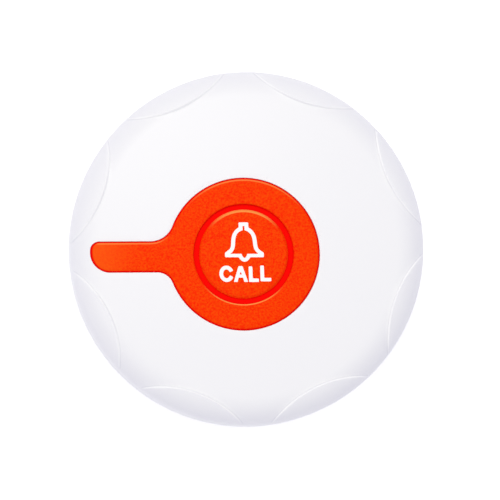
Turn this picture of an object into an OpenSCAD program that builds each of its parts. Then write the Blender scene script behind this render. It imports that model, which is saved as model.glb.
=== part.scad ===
// Waiter call button: a round white table unit with an orange key that reads as a keyhole.
// Millimetres, +Z up, origin at the centre of the face that lies on the table.
// +X points away from the key's tail, which runs towards -X.

/* [Housing] */
// Outer diameter of the round housing
body_d = 60; // [59.4:0.2:66]
// Height of the dome's crown above the table
body_h = 16.4; // [16.2:0.1:18]
// Radius of the shoulder between the dome and the side
shoulder_r = 5.2; // [4:0.1:6]
// Radius of the shallow sphere that shapes the dome
dome_r = 220; // [160:5:400]
// Wall of the cover's dome and side
wall = 1.8; // [1.4:0.1:2.2]
// Height of the lower edge of the cover above the table
skirt_z = 4.2; // [3.8:0.1:4.8]
// Gap that shows between the cover and the base
parting = 0.2; // [0.1:0.05:0.4]
// How far the base stands inside the cover's side
base_step = 0.2; // [0:0.05:0.5]
// Radius of the base's lower outer edge
base_round = 1.6; // [0.8:0.1:2.2]
// Thickness of the base's floor
floor_t = 2.4; // [2.3:0.1:3]

/* [Petals] */
// Number of leaf-shaped reliefs on the shoulder
petals = 8; // [6:1:10]
// Height that each leaf stands proud of the shoulder
petal_h = 0.3; // [0.15:0.05:0.5]
// Depth of a leaf, from the housing's side inwards
petal_depth = 3.5; // [2.5:0.1:4.5]
// Radius of the curve that edges a leaf
petal_r = 19.4; // [16:0.2:24]
// Turn of the ring of leaves against the tail
petal_turn = 3.5; // [0:0.5:4]

/* [Key] */
// Sideways place of the key's head from the housing's axis
key_x = -1; // [-2:0.1:0]
// Lengthwise place of the key's head from the housing's axis
key_y = -1.3; // [-2:0.1:0]
// Diameter of the key's round head
key_d = 25.8; // [24:0.1:28]
// Length of the tail, from the head's centre to its tip
tail_len = 26; // [23:0.2:26.4]
// Width of the tail
tail_w = 5.3; // [4.8:0.1:6]
// Radius of the tip's corner on the far side
tail_corner_far = 1.7; // [1.2:0.1:2.2]
// Radius of the tip's corner on the near side
tail_corner_near = 2.7; // [1.8:0.1:2.8]
// Radius of the hollow curve from the tail into the head, on the far side
neck_far = 5; // [3:0.1:6]
// Radius of the hollow curve on the near side
neck_near = 2.8; // [1.8:0.1:3.6]
// Depth of the recess that holds the key
key_depth = 1.8; // [1.7:0.1:2]
// Height that the key stands proud of the dome
key_proud = 0.2; // [0.1:0.05:0.4]
// Gap between the key and the walls of its recess
key_gap = 0.12; // [0.08:0.02:0.2]
// Wall under the recess
key_wall = 1.4; // [1.2:0.1:1.6]

/* [Button] */
// Diameter of the button's raised face
button_d = 15.1; // [14:0.1:16]
// Width of the groove round the button
groove_w = 0.9; // [0.6:0.1:1.2]
// How far the button goes down
button_travel = 0.5; // [0.3:0.05:0.6]
// Thickness of the flange that keeps the button in
flange_t = 0.5; // [0.4:0.05:0.6]
// How far the flange reaches under the key
flange_lap = 0.8; // [0.5:0.1:1.2]
// Diameter of the plunger under the button
plunger_d = 4; // [3.6:0.1:4.6]
// Gap between the plunger and its guide, all round
plunger_fit = 0.08; // [0.05:0.01:0.1]
// Free way before the plunger meets the switch
press_gap = 0.3; // [0.26:0.01:0.3]

/* [Electronics] */
// Diameter of the circuit board
board_d = 42; // [40:0.5:42.5]
// Thickness of the circuit board
board_t = 1; // [0.8:0.1:1.2]
// Side of the square switch
switch_w = 6; // [5.6:0.1:6.4]
// Height of the switch's body
switch_h = 3.5; // [3.2:0.1:3.6]
// Height of the stem over the switch's body
stem_out = 0.8; // [0.6:0.1:0.9]
// Diameter of the switch's stem
stem_d = 3.5; // [3:0.1:3.6]
// Travel of the switch's stem
stem_travel = 0.25; // [0.2:0.01:0.25]
// Distance of the lamp from the head's centre
lamp_x = 16.4; // [15:0.2:17]
// Diameter of the light guide
guide_d = 3; // [2.6:0.1:3.2]
// Turns of the aerial's coil
coil_turns = 9; // [6:1:12]
// Diameter of the aerial's coil, to the wire's centre
coil_d = 4; // [3.6:0.1:4.4]
// Diameter of the aerial's wire
coil_wire = 0.7; // [0.5:0.05:0.8]

/* [Battery] */
// Diameter of the coin cell
cell_d = 20; // [20:0.1:20.4]
// Thickness of the coin cell
cell_t = 3.2; // [3:0.1:3.3]
// Height of the contact spring between the cell and the board
contact_h = 1; // [0.8:0.1:1.2]
// Gap round the cell in the door's cup
cell_fit = 0.3; // [0.2:0.05:0.4]
// Wall of the door's cup
cup_wall = 1.2; // [1:0.1:1.3]
// Thickness of the door under the cell
door_t = 2.2; // [2:0.1:2.4]
// How far each lug of the door reaches out
lug_reach = 1; // [0.8:0.1:1.2]
// Angle that each lug spans
lug_span = 28; // [20:1:32]
// Angle that the door turns to come free
door_turn = 60; // [50:1:62]
// Width of the coin slot
slot_w = 2; // [1.6:0.1:2.4]
// Length of the coin slot
slot_len = 15; // [12:0.5:17]
// Depth of the coin slot
slot_deep = 1.1; // [0.8:0.1:1.3]
// Thickness of the seal rings
seal_t = 0.8; // [0.6:0.05:0.8]

/* [Fixing] */
// Thickness of the foam tape under the base
tape_t = 1; // [0.8:0.1:1.2]
// How deep the tape sits in the base
tape_seat = 0.6; // [0.4:0.1:0.7]
// Gap between the tape and the holes of the housing screws
tape_clear = 0.95; // [0.8:0.05:3]
// Diameter of the housing screws
screw_d = 2.2; // [2:0.1:2.4]
// Distance of the board screws from the axis
board_screw_r = 17.5; // [17.2:0.1:18]
// Diameter of the board screws
board_screw_d = 1.8; // [1.6:0.1:2]

/* [Hidden] */
$fn = 96;
eps = 0.01;
// Depth to which posts, ribs and walls start inside the floor
sunk = 0.5;
fine = 720;

// The dome is a sphere, and the shoulder is a round that runs into it without a crease.
body_r = body_d / 2;
shoulder_x = body_r - shoulder_r;
dome_z = body_h - dome_r;
shoulder_z = dome_z + sqrt(pow(dome_r - shoulder_r, 2) - pow(shoulder_x, 2));
meet = [shoulder_x, shoulder_z - dome_z] / (dome_r - shoulder_r);
edge_cut = 0.25;

// Heights, from the table up
base_z = tape_t - tape_seat;
base_r = body_r - base_step;
base_top = skirt_z - parting;
floor_z = base_z + floor_t;
door_inset = 0.1;
door_z = base_z + door_inset;
door_top = door_z + door_t;
cell_z = door_top + 0.3;
cell_top = cell_z + cell_t;
board_z = cell_top + contact_h;
board_top = board_z + board_t;
switch_top = board_top + switch_h;
stem_top = switch_top + stem_out;
plunger_z = stem_top + press_gap;

// The key and the button
key_r = key_d / 2;
button_r = button_d / 2;
hole_r = button_r + groove_w;
flange_r = hole_r + flange_lap;
flange_gap = 0.1;
seat_gap = 0.05;
flange_z = body_h - key_depth + button_travel + flange_gap;
lip_z = flange_z + flange_t + flange_gap;
guide_r = plunger_d / 2 + plunger_fit;
guide_wall = 1.5;
guide_drop = 0.5;
key_margin = 1.4;
guide_z = body_h - key_depth - key_wall - guide_drop;
peg_d = 1.6;
peg_fit = 0.06;
peg_ring = (key_r + flange_r) / 2 + 0.2;
peg_turns = [35, 145, 215, 325];
peg_out = key_wall + 0.6;

// The joint between the cover and the base
lip_fit = 0.1;
lip_t = 1.2;
lip_out = body_r - wall - lip_fit;
lip_in = lip_out - lip_t;
lip_top = skirt_z + 2.6;
seal_z = skirt_z + 1.2;
seal_slot = seal_t + 0.2;
seal_deep = seal_t - 0.05;

// Ribs under the dome and on the floor
rib_t = 1;
rib_deep = 1;
rib_turns = [45, 90, 135, 225, 270, 315];

// The battery door: a cup with lugs that turn over the floor of the base
cup_in = cell_d / 2 + cell_fit;
cup_out = cup_in + cup_wall;
cup_top = floor_z + 1.5;
door_fit = 0.1;
well_r = cup_out + door_fit;
lug_r = cup_out + lug_reach;
lug_gap = 0.1;
lug_t = 0.8;
lugs = 3;
door_seal_r = lug_r + door_fit + seal_t / 2 + 0.3;
flange_out = door_seal_r + seal_t / 2 + 0.6;
door_flange_t = 0.9;
door_bore_r = flange_out + 0.15;
seal_sink = 0.5;
door_seal_z = door_z + door_flange_t - seal_sink + seal_t / 2;
door_bore_z = door_seal_z + seal_t / 2 + 0.1;
well_wall = 1.3;
well_in = lug_r + 0.3;
well_top = cup_top + 0.9;

// Fixings
screw_turns = [0, 120, 240];
post_turns = [30, 150, 270];
screw_fit = 0.05;
boss_r = screw_d / 2 + 1.4;
screw_r = lip_in - boss_r - 0.15;
column_r = boss_r + 0.4;
boss_z = floor_z + 3.2;
head_r = screw_d / 2 + 1;
head_t = 1.3;
head_sink = 1.6;
head_fit = 0.15;
screw_len = 8;
post_r = board_screw_d / 2 + 1.5;
board_head_r = board_screw_d / 2 + 0.8;
board_head_t = 1.1;
board_screw_len = 4.2;
board_clear = 0.8;
tape_in = door_bore_r + 0.6;
tape_out = screw_r - head_r - head_fit - tape_clear;
tape_w = tape_out - tape_in;

// Half of the outline of the dome, drawn inset by a wall, down to the height low
module dome_half(inset = 0, low = 0, cut = 0) {
    polygon([[0, low], [body_r - inset - cut, low], [body_r - inset, low + cut],
             [body_r - inset, shoulder_z], [0, shoulder_z]]);
    translate([shoulder_x, shoulder_z])
        circle(r = shoulder_r - inset);
    intersection() {
        translate([0, dome_z])
            circle(r = dome_r - inset, $fn = fine);
        polygon([[0, low], [shoulder_x, low], [shoulder_x, shoulder_z],
                 [shoulder_x, shoulder_z] + meet * (shoulder_r + 2), [0, body_h + 3]]);
    }
}

// The dome as a solid, lifted or lowered by rise
module dome(inset = 0, rise = 0, low = 0, cut = 0) {
    translate([0, 0, rise])
        rotate_extrude()
            dome_half(inset, low, cut);
}

// Solid round the axis between two radii, over an angle that starts at turn
module sector(r_in, r_out, z, h, turn, span) {
    rotate(turn)
        rotate_extrude(angle = span)
            translate([r_in, z])
                square([r_out - r_in, h]);
}

// Tube with its lower end at z
module tube(r_out, r_in, z, h) {
    translate([0, 0, z])
        difference() {
            cylinder(r = r_out, h = h);
            translate([0, 0, -eps])
                cylinder(r = r_in, h = h + 2 * eps);
        }
}

// Children repeated at distance r along each of the turns
module around(r, turns) {
    for (turn = turns)
        rotate(turn)
            translate([r, 0, 0])
                rotate(-turn)
                    children();
}

// One hollow curve between the tail and the head, on the side given by +1 or -1
module neck(grow, side) {
    r = (side > 0 ? neck_far : neck_near) - grow;
    half = tail_w / 2 + grow;
    reach = key_r + grow + r;
    x = -sqrt(pow(reach, 2) - pow(half + r, 2));
    difference() {
        polygon([[x, 0], [x, side * half], [x, side * (half + r)],
                 [x, side * (half + r)] * (key_r + grow) / reach, [0, 0]]);
        translate([x, side * (half + r)])
            circle(r = r);
    }
}

// The key's outline, grown by a margin
module keyhole(grow = 0) {
    half = tail_w / 2 + grow;
    far = tail_corner_far + grow;
    near = tail_corner_near + grow;
    tip = -tail_len - grow;
    translate([key_x, key_y]) {
        circle(r = key_r + grow);
        translate([tip + far, half - far])
            circle(r = far);
        translate([tip + near, near - half])
            circle(r = near);
        translate([tip + max(far, near), -half])
            square([-tip - max(far, near), 2 * half]);
        translate([tip + far, 0])
            square([-tip - far, half]);
        translate([tip, near - half])
            square([max(far, near), 2 * half - near - far]);
        for (side = [-1, 1])
            neck(grow, side);
    }
}

// The key's outline as a tall prism
module key_prism(grow = 0) {
    translate([0, 0, skirt_z])
        linear_extrude(height = body_h)
            keyhole(grow);
}

// Leaf-shaped columns that bound the reliefs on the shoulder
module leaves() {
    step = 360 / petals;
    for (i = [0 : petals - 1])
        rotate(petal_turn + step * (i + 0.5))
            translate([body_r - petal_depth + petal_r, 0, skirt_z + 1])
                cylinder(r = petal_r, h = body_h);
}

// Bosses that the housing screws bite into, each with a web to the side wall
module screw_bosses() {
    intersection() {
        around(screw_r, screw_turns)
            translate([0, 0, boss_z])
                cylinder(r = boss_r, h = body_h - boss_z);
        dome(inset = wall / 2, low = skirt_z);
    }
    intersection() {
        for (turn = screw_turns)
            rotate(turn)
                translate([screw_r, -0.6, boss_z + 1.5])
                    cube([body_r - screw_r, 1.2, body_h]);
        dome(inset = wall / 2, low = skirt_z);
    }
}

// Thick walls round and under the key's recess
module key_surround() {
    difference() {
        intersection() {
            key_prism(key_margin);
            dome(inset = wall / 2, low = skirt_z);
        }
        dome(rise = -key_depth - key_wall, low = skirt_z - 1);
    }
}

// Stiffening ribs across the inside of the dome
module dome_ribs() {
    difference() {
        intersection() {
            for (turn = rib_turns)
                rotate(turn)
                    translate([key_r, -rib_t / 2, skirt_z])
                        cube([body_r - key_r, rib_t, body_h]);
            dome(inset = wall / 2, low = skirt_z);
        }
        dome(inset = wall, rise = -rib_deep, low = skirt_z - rib_deep - 1);
    }
}

module top_cover() {
    color("white")
        difference() {
            union() {
                difference() {
                    union() {
                        dome(low = skirt_z, cut = edge_cut);
                        intersection() {
                            dome(inset = 0.02, rise = petal_h, low = skirt_z + 2);
                            leaves();
                        }
                    }
                    dome(inset = wall, low = skirt_z - 1);
                }
                key_surround();
                screw_bosses();
                dome_ribs();
                translate([key_x, key_y, guide_z])
                    cylinder(r = guide_r + guide_wall, h = key_wall);
            }
            difference() {
                key_prism();
                dome(rise = -key_depth, low = skirt_z - 2);
            }
            translate([key_x, key_y, guide_z - 1])
                cylinder(r = guide_r, h = body_h);
            translate([key_x - lamp_x, key_y, skirt_z])
                cylinder(r = guide_d / 2 + peg_fit, h = body_h);
            translate([key_x, key_y, skirt_z])
                around(peg_ring, peg_turns)
                    cylinder(r = peg_d / 2 + peg_fit, h = body_h);
            around(screw_r, screw_turns)
                translate([0, 0, boss_z - 1])
                    cylinder(r = screw_d / 2, h = screw_len - 2);
        }
}

module base_half() {
    difference() {
        union() {
            translate([0, base_z])
                square([base_r - base_round, floor_t]);
            translate([base_r - base_round, base_z + base_round])
                circle(r = base_round);
            polygon([[lip_in, base_z + base_round], [base_r, base_z + base_round],
                     [base_r, base_top - edge_cut], [base_r - edge_cut, base_top], [lip_in, base_top]]);
            translate([lip_in, base_top - 1])
                square([lip_t, lip_top - base_top + 1]);
        }
        translate([lip_out - seal_deep, seal_z - seal_slot / 2])
            square([seal_deep + 1, seal_slot]);
        translate([tape_in, base_z - 1])
            square([tape_w, 1 + tape_seat]);
        translate([0, base_z - 1])
            square([door_bore_r, 1 + door_bore_z - base_z]);
        translate([0, base_z - 1])
            square([well_r, floor_t + 2]);
    }
}

module base_shell() {
    stop_from = lug_span / 2 + door_turn + 2;
    stop_to = 360 / lugs - lug_span / 2 - 2;
    color("gainsboro")
        difference() {
            union() {
                rotate_extrude()
                    base_half();
                tube(well_in + well_wall, well_in, floor_z - sunk, well_top - floor_z + sunk);
                for (i = [0 : lugs - 1])
                    sector(well_r + 0.1, well_in + 0.3, floor_z - sunk, lug_gap + lug_t + sunk,
                           i * 360 / lugs + stop_from, stop_to - stop_from);
                around(board_screw_r, post_turns)
                    translate([0, 0, floor_z - sunk])
                        cylinder(r = post_r, h = board_z - floor_z + sunk);
                for (turn = post_turns)
                    rotate(turn)
                        translate([well_in + well_wall / 2, -rib_t / 2, floor_z - sunk])
                            cube([board_screw_r - well_in - well_wall / 2, rib_t, well_top - floor_z - 0.4 + sunk]);
                around(screw_r, screw_turns)
                    translate([0, 0, floor_z - 1])
                        cylinder(r = column_r, h = boss_z - floor_z + 1);
            }
            for (i = [0 : lugs - 1])
                sector(well_r - 1, lug_r + door_fit, base_z, floor_t + 1,
                       i * 360 / lugs + door_turn - lug_span / 2 - 1, lug_span + 2);
            around(board_screw_r, post_turns)
                translate([0, 0, board_z + board_t - board_screw_len - 0.5])
                    cylinder(r = board_screw_d / 2 + screw_fit, h = board_screw_len);
            around(screw_r, screw_turns) {
                translate([0, 0, base_z - 1])
                    cylinder(r = head_r + head_fit, h = 1 + head_sink);
                translate([0, 0, base_z])
                    cylinder(r = screw_d / 2 + 0.15, h = body_h);
            }
        }
}

module housing_seal() {
    color("dimgray")
        rotate_extrude()
            translate([lip_out - seal_deep + seal_t / 2, seal_z])
                circle(r = seal_t / 2, $fn = 32);
}

module key_pad() {
    color("orangered")
        difference() {
            union() {
                difference() {
                    intersection() {
                        key_prism(-key_gap);
                        dome(rise = key_proud);
                    }
                    dome(rise = seat_gap - key_depth, low = -key_depth);
                }
                translate([key_x, key_y, body_h - key_depth - peg_out])
                    around(peg_ring, peg_turns)
                        cylinder(r = peg_d / 2, h = peg_out + key_depth / 2);
            }
            translate([key_x, key_y, 0]) {
                cylinder(r = hole_r, h = 2 * body_h);
                cylinder(r = flange_r + 0.15, h = lip_z);
            }
        }
}

module call_button() {
    color("orangered")
        intersection() {
            translate([key_x, key_y, 0]) {
                translate([0, 0, flange_z])
                    cylinder(r = flange_r, h = flange_t);
                translate([0, 0, flange_z])
                    cylinder(r = button_r, h = body_h);
                translate([0, 0, plunger_z])
                    cylinder(r = plunger_d / 2, h = flange_z - plunger_z + eps);
            }
            dome(rise = key_proud);
        }
}

module light_guide() {
    x = abs(key_x - lamp_x);
    roof = dome_z + sqrt(pow(dome_r, 2) - pow(x, 2)) - key_depth;
    color("aliceblue")
        translate([key_x - lamp_x, key_y, 0]) {
            translate([0, 0, board_top + 1.5])
                cylinder(r = guide_d / 2, h = roof - board_top - 1.6);
            translate([0, 0, roof - key_wall - 1.1])
                cylinder(r = guide_d / 2 + 0.8, h = 0.8);
        }
}

module circuit_board() {
    color("seagreen")
        difference() {
            translate([0, 0, board_z])
                cylinder(r = board_d / 2, h = board_t);
            around(board_screw_r, post_turns)
                translate([0, 0, board_z - 1])
                    cylinder(r = board_screw_d / 2 + 0.1, h = board_t + 2);
            around(screw_r, screw_turns)
                translate([0, 0, board_z - 1])
                    cylinder(r = column_r + board_clear, h = board_t + 2);
        }
}

module switch_body() {
    lid = 0.3;
    color("dimgray")
        translate([key_x, key_y, 0])
            difference() {
                translate([-switch_w / 2, -switch_w / 2, board_top])
                    cube([switch_w, switch_w, switch_h - lid]);
                translate([0, 0, board_top + 1])
                    cylinder(r = stem_d / 2 + 0.3, h = switch_h);
            }
}

module switch_frame() {
    lid = 0.3;
    color("silver")
        translate([key_x, key_y, 0])
            difference() {
                translate([-switch_w / 2, -switch_w / 2, switch_top - lid])
                    cube([switch_w, switch_w, lid]);
                translate([0, 0, board_top])
                    cylinder(r = stem_d / 2 + 0.06, h = 2 * switch_h);
            }
}

module switch_stem() {
    collar = 0.6;
    collar_z = board_top + 1 + stem_travel + 0.1;
    color("black")
        translate([key_x, key_y, 0]) {
            translate([0, 0, collar_z])
                cylinder(r = stem_d / 2, h = stem_top - collar_z);
            translate([0, 0, collar_z])
                cylinder(r = stem_d / 2 + 0.2, h = collar);
        }
}

module switch_terminals() {
    leg_w = 0.7;
    foot = 1.4;
    color("silver")
        translate([key_x, key_y, board_top])
            for (side = [-1, 1], row = [-1, 1]) {
                translate([side > 0 ? switch_w / 2 : -switch_w / 2 - foot,
                           row * switch_w / 3 - leg_w / 2, 0])
                    cube([foot, leg_w, 0.2]);
                translate([side > 0 ? switch_w / 2 : -switch_w / 2 - 0.2,
                           row * switch_w / 3 - leg_w / 2, 0])
                    cube([0.2, leg_w, 1.4]);
            }
}

// Place and size of the radio encoder on the board
chip_x = 7.5;
chip_y = -9.5;
chip_size = [4.9, 3.9, 1.3];
chip_lift = 0.15;

module encoder_chip() {
    color("black")
        translate([chip_x, chip_y, board_top + chip_lift])
            difference() {
                translate([-chip_size[0] / 2, -chip_size[1] / 2, 0])
                    cube(chip_size);
                translate([-chip_size[0] / 2 + 0.8, -chip_size[1] / 2 + 0.8, chip_size[2] - 0.1])
                    cylinder(r = 0.35, h = 1, $fn = 32);
            }
}

module chip_leads() {
    pitch = 1.27;
    out = 1;
    color("silver")
        translate([chip_x, chip_y, board_top])
            for (i = [-1.5 : 1 : 1.5], side = [-1, 1])
                translate([i * pitch - 0.2, side > 0 ? chip_size[1] / 2 : -chip_size[1] / 2 - out, 0]) {
                    cube([0.4, out, 0.15]);
                    translate([0, side > 0 ? 0 : out - 0.15, 0])
                        cube([0.4, 0.15, 0.8]);
                }
}

// Place and size of the resonator's can on the board
can_place = [4.5, 11];
can_r = 4.1;
can_h = 2.9;
can_rim = 0.5;
can_tab = 1;

module resonator_can() {
    color("silver")
        translate([can_place[0], can_place[1], board_top]) {
            cylinder(r = can_r + can_rim, h = can_rim);
            cylinder(r = can_r, h = can_h);
            translate([can_r, -can_tab / 2, 0])
                cube([can_rim + can_tab, can_tab, can_rim]);
        }
}

// The aerial: a wire wound about an axis along Y, with both ends straight down to the board
coil_x = 16;
coil_y = -8;
coil_pitch = 1.4;
coil_z = board_top + coil_d / 2 + coil_wire / 2 + 0.2;
coil_steps = 14;
coil_sides = 6;
coil_last = (coil_turns + 0.5) * coil_steps;

// One ring of points round the wire, at a height and a place along the winding
function wire_ring(i, height) =
    let (a = 360 * i / coil_steps,
         out = [cos(a), 0, sin(a)],
         middle = [coil_x + coil_d / 2 * cos(a), coil_y + coil_pitch * i / coil_steps, height])
    [for (j = [0 : coil_sides - 1])
        let (t = 360 * j / coil_sides)
        middle + coil_wire / 2 * (out * cos(t) + [0, sin(t), 0])];

module aerial_coil() {
    rings = [wire_ring(0, board_top),
             for (i = [0 : coil_last]) wire_ring(i, coil_z + coil_d / 2 * sin(360 * i / coil_steps)),
             wire_ring(coil_last, board_top)];
    last = len(rings) - 1;
    sides = [for (i = [0 : last - 1], j = [0 : coil_sides - 1])
        let (k = (j + 1) % coil_sides)
        [i * coil_sides + j, i * coil_sides + k, (i + 1) * coil_sides + k, (i + 1) * coil_sides + j]];
    start = [for (j = [coil_sides - 1 : -1 : 0]) j];
    end = [for (j = [0 : coil_sides - 1]) last * coil_sides + j];
    color("peru")
        polyhedron(points = [for (ring = rings) each ring], faces = concat([start], sides, [end]));
}

module indicator_lamp() {
    color("ivory")
        translate([key_x - lamp_x, key_y, board_top]) {
            translate([-1.6, -1.4, 0])
                cube([3.2, 2.8, 0.7]);
            cylinder(r = 1.2, h = 1.2);
        }
}

module small_components() {
    size = [2, 1.25, 0.6];
    places = [[-9, 6, 0], [-9, 9, 0], [-7.5, -8.5, 90], [-4.5, -8.5, 90], [-10.5, -6, 0], [-1.5, 7.5, 90]];
    color("sienna")
        for (p = places)
            translate([p[0], p[1], board_top])
                rotate(p[2])
                    translate([-size[0] / 2, -size[1] / 2, 0])
                        cube(size);
}

// The cell's can stops short of its top, where the gasket holds the smaller lid
can_t = cell_t - 0.5;
lid_r = cell_d / 2 - 1.2;

module coin_cell() {
    color("silver") {
        translate([0, 0, cell_z])
            cylinder(r = cell_d / 2, h = can_t);
        translate([0, 0, cell_z])
            cylinder(r = lid_r, h = cell_t);
    }
}

module cell_gasket() {
    color("black")
        tube(lid_r + 0.5, lid_r, cell_z + can_t, 0.3);
}

// Width of the battery's contact springs
contact_w = 4;

module positive_contact() {
    leaf = 0.3;
    gap = 0.05;
    foot = 2.6;
    x = cell_d / 2 + gap;
    low = cup_top + 0.4;
    color("gold")
        rotate(-50) {
            translate([x, -contact_w / 2, low])
                cube([leaf, contact_w, board_z - low]);
            translate([x, -contact_w / 2, board_z - leaf])
                cube([foot, contact_w, leaf]);
        }
}

module negative_contact() {
    leaf = 0.2;
    bow_r = 6 * contact_h;
    bow_z = cell_top + 0.05 + bow_r;
    foot = contact_w * 0.75;
    color("gold") {
        translate([0, contact_w / 2, 0])
            rotate([90, 0, 0])
                linear_extrude(height = contact_w)
                    intersection() {
                        difference() {
                            translate([0, bow_z])
                                circle(r = bow_r);
                            translate([0, bow_z])
                                circle(r = bow_r - leaf);
                        }
                        translate([-bow_r, cell_top])
                            square([2 * bow_r, contact_h]);
                    }
        for (side = [-1, 1])
            translate([side > 0 ? bow_r / 2 : -bow_r / 2 - foot, -contact_w / 2, board_z - leaf])
                cube([foot, contact_w, leaf]);
    }
}

module battery_door() {
    color("gainsboro")
        difference() {
            union() {
                translate([0, 0, door_z])
                    cylinder(r = flange_out, h = door_flange_t);
                translate([0, 0, door_z])
                    cylinder(r = cup_out, h = cup_top - door_z);
                for (i = [0 : lugs - 1])
                    sector(cup_out - 0.2, lug_r, floor_z + lug_gap, lug_t,
                           i * 360 / lugs - lug_span / 2, lug_span);
            }
            translate([0, 0, door_top])
                cylinder(r = cup_in, h = cup_top);
            tube(door_seal_r + seal_t / 2 + 0.05, door_seal_r - seal_t / 2 - 0.05,
                 door_z + door_flange_t - seal_sink, 1);
            translate([-slot_len / 2, -slot_w / 2, door_z - 1])
                cube([slot_len, slot_w, 1 + slot_deep]);
        }
}

module door_seal() {
    color("dimgray")
        translate([0, 0, door_seal_z])
            rotate_extrude()
                translate([door_seal_r, 0])
                    circle(r = seal_t / 2, $fn = 32);
}

module housing_screws() {
    color("silver")
        around(screw_r, screw_turns)
            difference() {
                union() {
                    translate([0, 0, base_z + head_sink - head_t])
                        cylinder(r = head_r, h = head_t);
                    translate([0, 0, base_z + head_sink - eps])
                        cylinder(r = screw_d / 2 - screw_fit, h = screw_len - head_t);
                }
                for (turn = [0, 90])
                    rotate(turn)
                        translate([-head_r * 0.6, -0.25, base_z + head_sink - head_t - 1])
                            cube([head_r * 1.2, 0.5, 1.6]);
            }
}

module board_screws() {
    color("silver")
        around(board_screw_r, post_turns)
            difference() {
                union() {
                    translate([0, 0, board_top])
                        cylinder(r = board_head_r, h = board_head_t);
                    translate([0, 0, board_top - board_screw_len])
                        cylinder(r = board_screw_d / 2, h = board_screw_len + eps);
                }
                for (turn = [0, 90])
                    rotate(turn)
                        translate([-board_head_r * 0.6, -0.2, board_top + board_head_t - 0.5])
                            cube([board_head_r * 1.2, 0.4, 1]);
            }
}

module mounting_tape() {
    color("whitesmoke")
        tube(tape_out - 0.1, tape_in + 0.1, 0, tape_t);
}

top_cover();
base_shell();
housing_seal();
key_pad();
call_button();
light_guide();
circuit_board();
switch_body();
switch_frame();
switch_stem();
switch_terminals();
encoder_chip();
chip_leads();
resonator_can();
aerial_coil();
indicator_lamp();
small_components();
coin_cell();
cell_gasket();
positive_contact();
negative_contact();
battery_door();
door_seal();
housing_screws();
board_screws();
mounting_tape();
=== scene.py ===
"""Looks of a waiter call button: a round white table unit with an orange silicone key.

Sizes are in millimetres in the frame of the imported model: +Z up, the origin on the table, and the
key's tail towards -X. They become metres where a mesh is made.
"""

import logging
import math
from collections import Counter
from collections.abc import Callable, Iterable, Sequence
from dataclasses import dataclass, field
from enum import Enum
from functools import cache

import bmesh
import bpy
import numpy as np
from mathutils import Matrix, Vector
from mathutils.geometry import delaunay_2d_cdt


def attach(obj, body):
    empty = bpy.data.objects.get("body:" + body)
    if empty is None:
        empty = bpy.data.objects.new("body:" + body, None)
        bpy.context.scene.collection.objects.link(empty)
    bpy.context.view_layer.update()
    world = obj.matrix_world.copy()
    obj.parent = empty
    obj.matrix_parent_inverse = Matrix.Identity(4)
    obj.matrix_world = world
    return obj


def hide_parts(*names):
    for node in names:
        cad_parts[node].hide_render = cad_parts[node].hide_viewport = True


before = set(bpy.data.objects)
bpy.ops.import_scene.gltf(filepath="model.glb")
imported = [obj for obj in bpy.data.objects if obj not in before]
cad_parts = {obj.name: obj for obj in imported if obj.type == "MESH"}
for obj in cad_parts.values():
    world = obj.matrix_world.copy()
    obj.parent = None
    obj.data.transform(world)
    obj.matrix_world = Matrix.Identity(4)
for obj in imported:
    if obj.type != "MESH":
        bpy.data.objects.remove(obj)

log = logging.getLogger("call_button")

MM = 0.001
WELD = 0.004  # points nearer than this, in millimetres, are one

NO_POINTS = np.empty((0, 2))

Colour = tuple[float, float, float]
Point = Sequence[float]
Place = Callable[[np.ndarray], np.ndarray]
Node = bpy.types.Node
Object = bpy.types.Object
Socket = bpy.types.NodeSocket
Tree = bpy.types.NodeTree


class Slot(Enum):
    """The record's material slots."""

    SHELL = "white_shell"
    BASE = "base_plastic"
    KEY = "orange_key"
    CLEAR = "clear_plastic"
    BOARD = "board_green"
    BLACK = "black_plastic"
    BRIGHT = "bright_steel"
    TINNED = "tinned_metal"
    COPPER = "copper_wire"
    LAMP = "lamp_white"
    COMPONENT = "component_body"
    CONTACT = "contact_metal"
    RUBBER = "seal_rubber"
    SCREW = "screw_steel"
    FOAM = "foam_tape"


# ------------------------------------------------------------------------------- flat geometry


def arc(centre: Point, radius: float, start: float, end: float, count: int) -> np.ndarray:
    """Points along an arc, without its last point.

    Args:
        centre: centre of the arc.
        radius: radius of the arc.
        start: angle of the first point, in radians.
        end: angle at which the arc ends, in radians.
        count: number of points.

    Returns:
        The points as rows of x and y.
    """
    turn = np.linspace(start, end, count, endpoint=False)
    return np.stack([centre[0] + radius * np.cos(turn), centre[1] + radius * np.sin(turn)], 1)


def ring(radius: float, count: int, centre: Point = (0.0, 0.0)) -> np.ndarray:
    """Points round a circle, counter-clockwise from +X."""
    return arc(centre, radius, 0, 2 * math.pi, count)


def line(start: Point, end: Point, count: int) -> np.ndarray:
    """Evenly spaced points from start up to, but without, end."""
    part = np.linspace(0, 1, count, endpoint=False)[:, None]
    return np.asarray(start, float) * (1 - part) + np.asarray(end, float) * part


def level(flat: np.ndarray, height: float) -> np.ndarray:
    """Points in plan, set at one height."""
    return np.column_stack([flat, np.full(len(flat), height)])


def polar(flat: np.ndarray) -> tuple[np.ndarray, np.ndarray]:
    """Distances from the middle, and directions, of points in plan."""
    return np.hypot(flat[:, 0], flat[:, 1]), np.arctan2(flat[:, 1], flat[:, 0])


def from_polar(radius: np.ndarray, angle: np.ndarray, height: np.ndarray) -> np.ndarray:
    """Rows of x, y and z for points given by distance from the axis, direction and height."""
    return np.column_stack([radius * np.cos(angle), radius * np.sin(angle), height])


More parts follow.
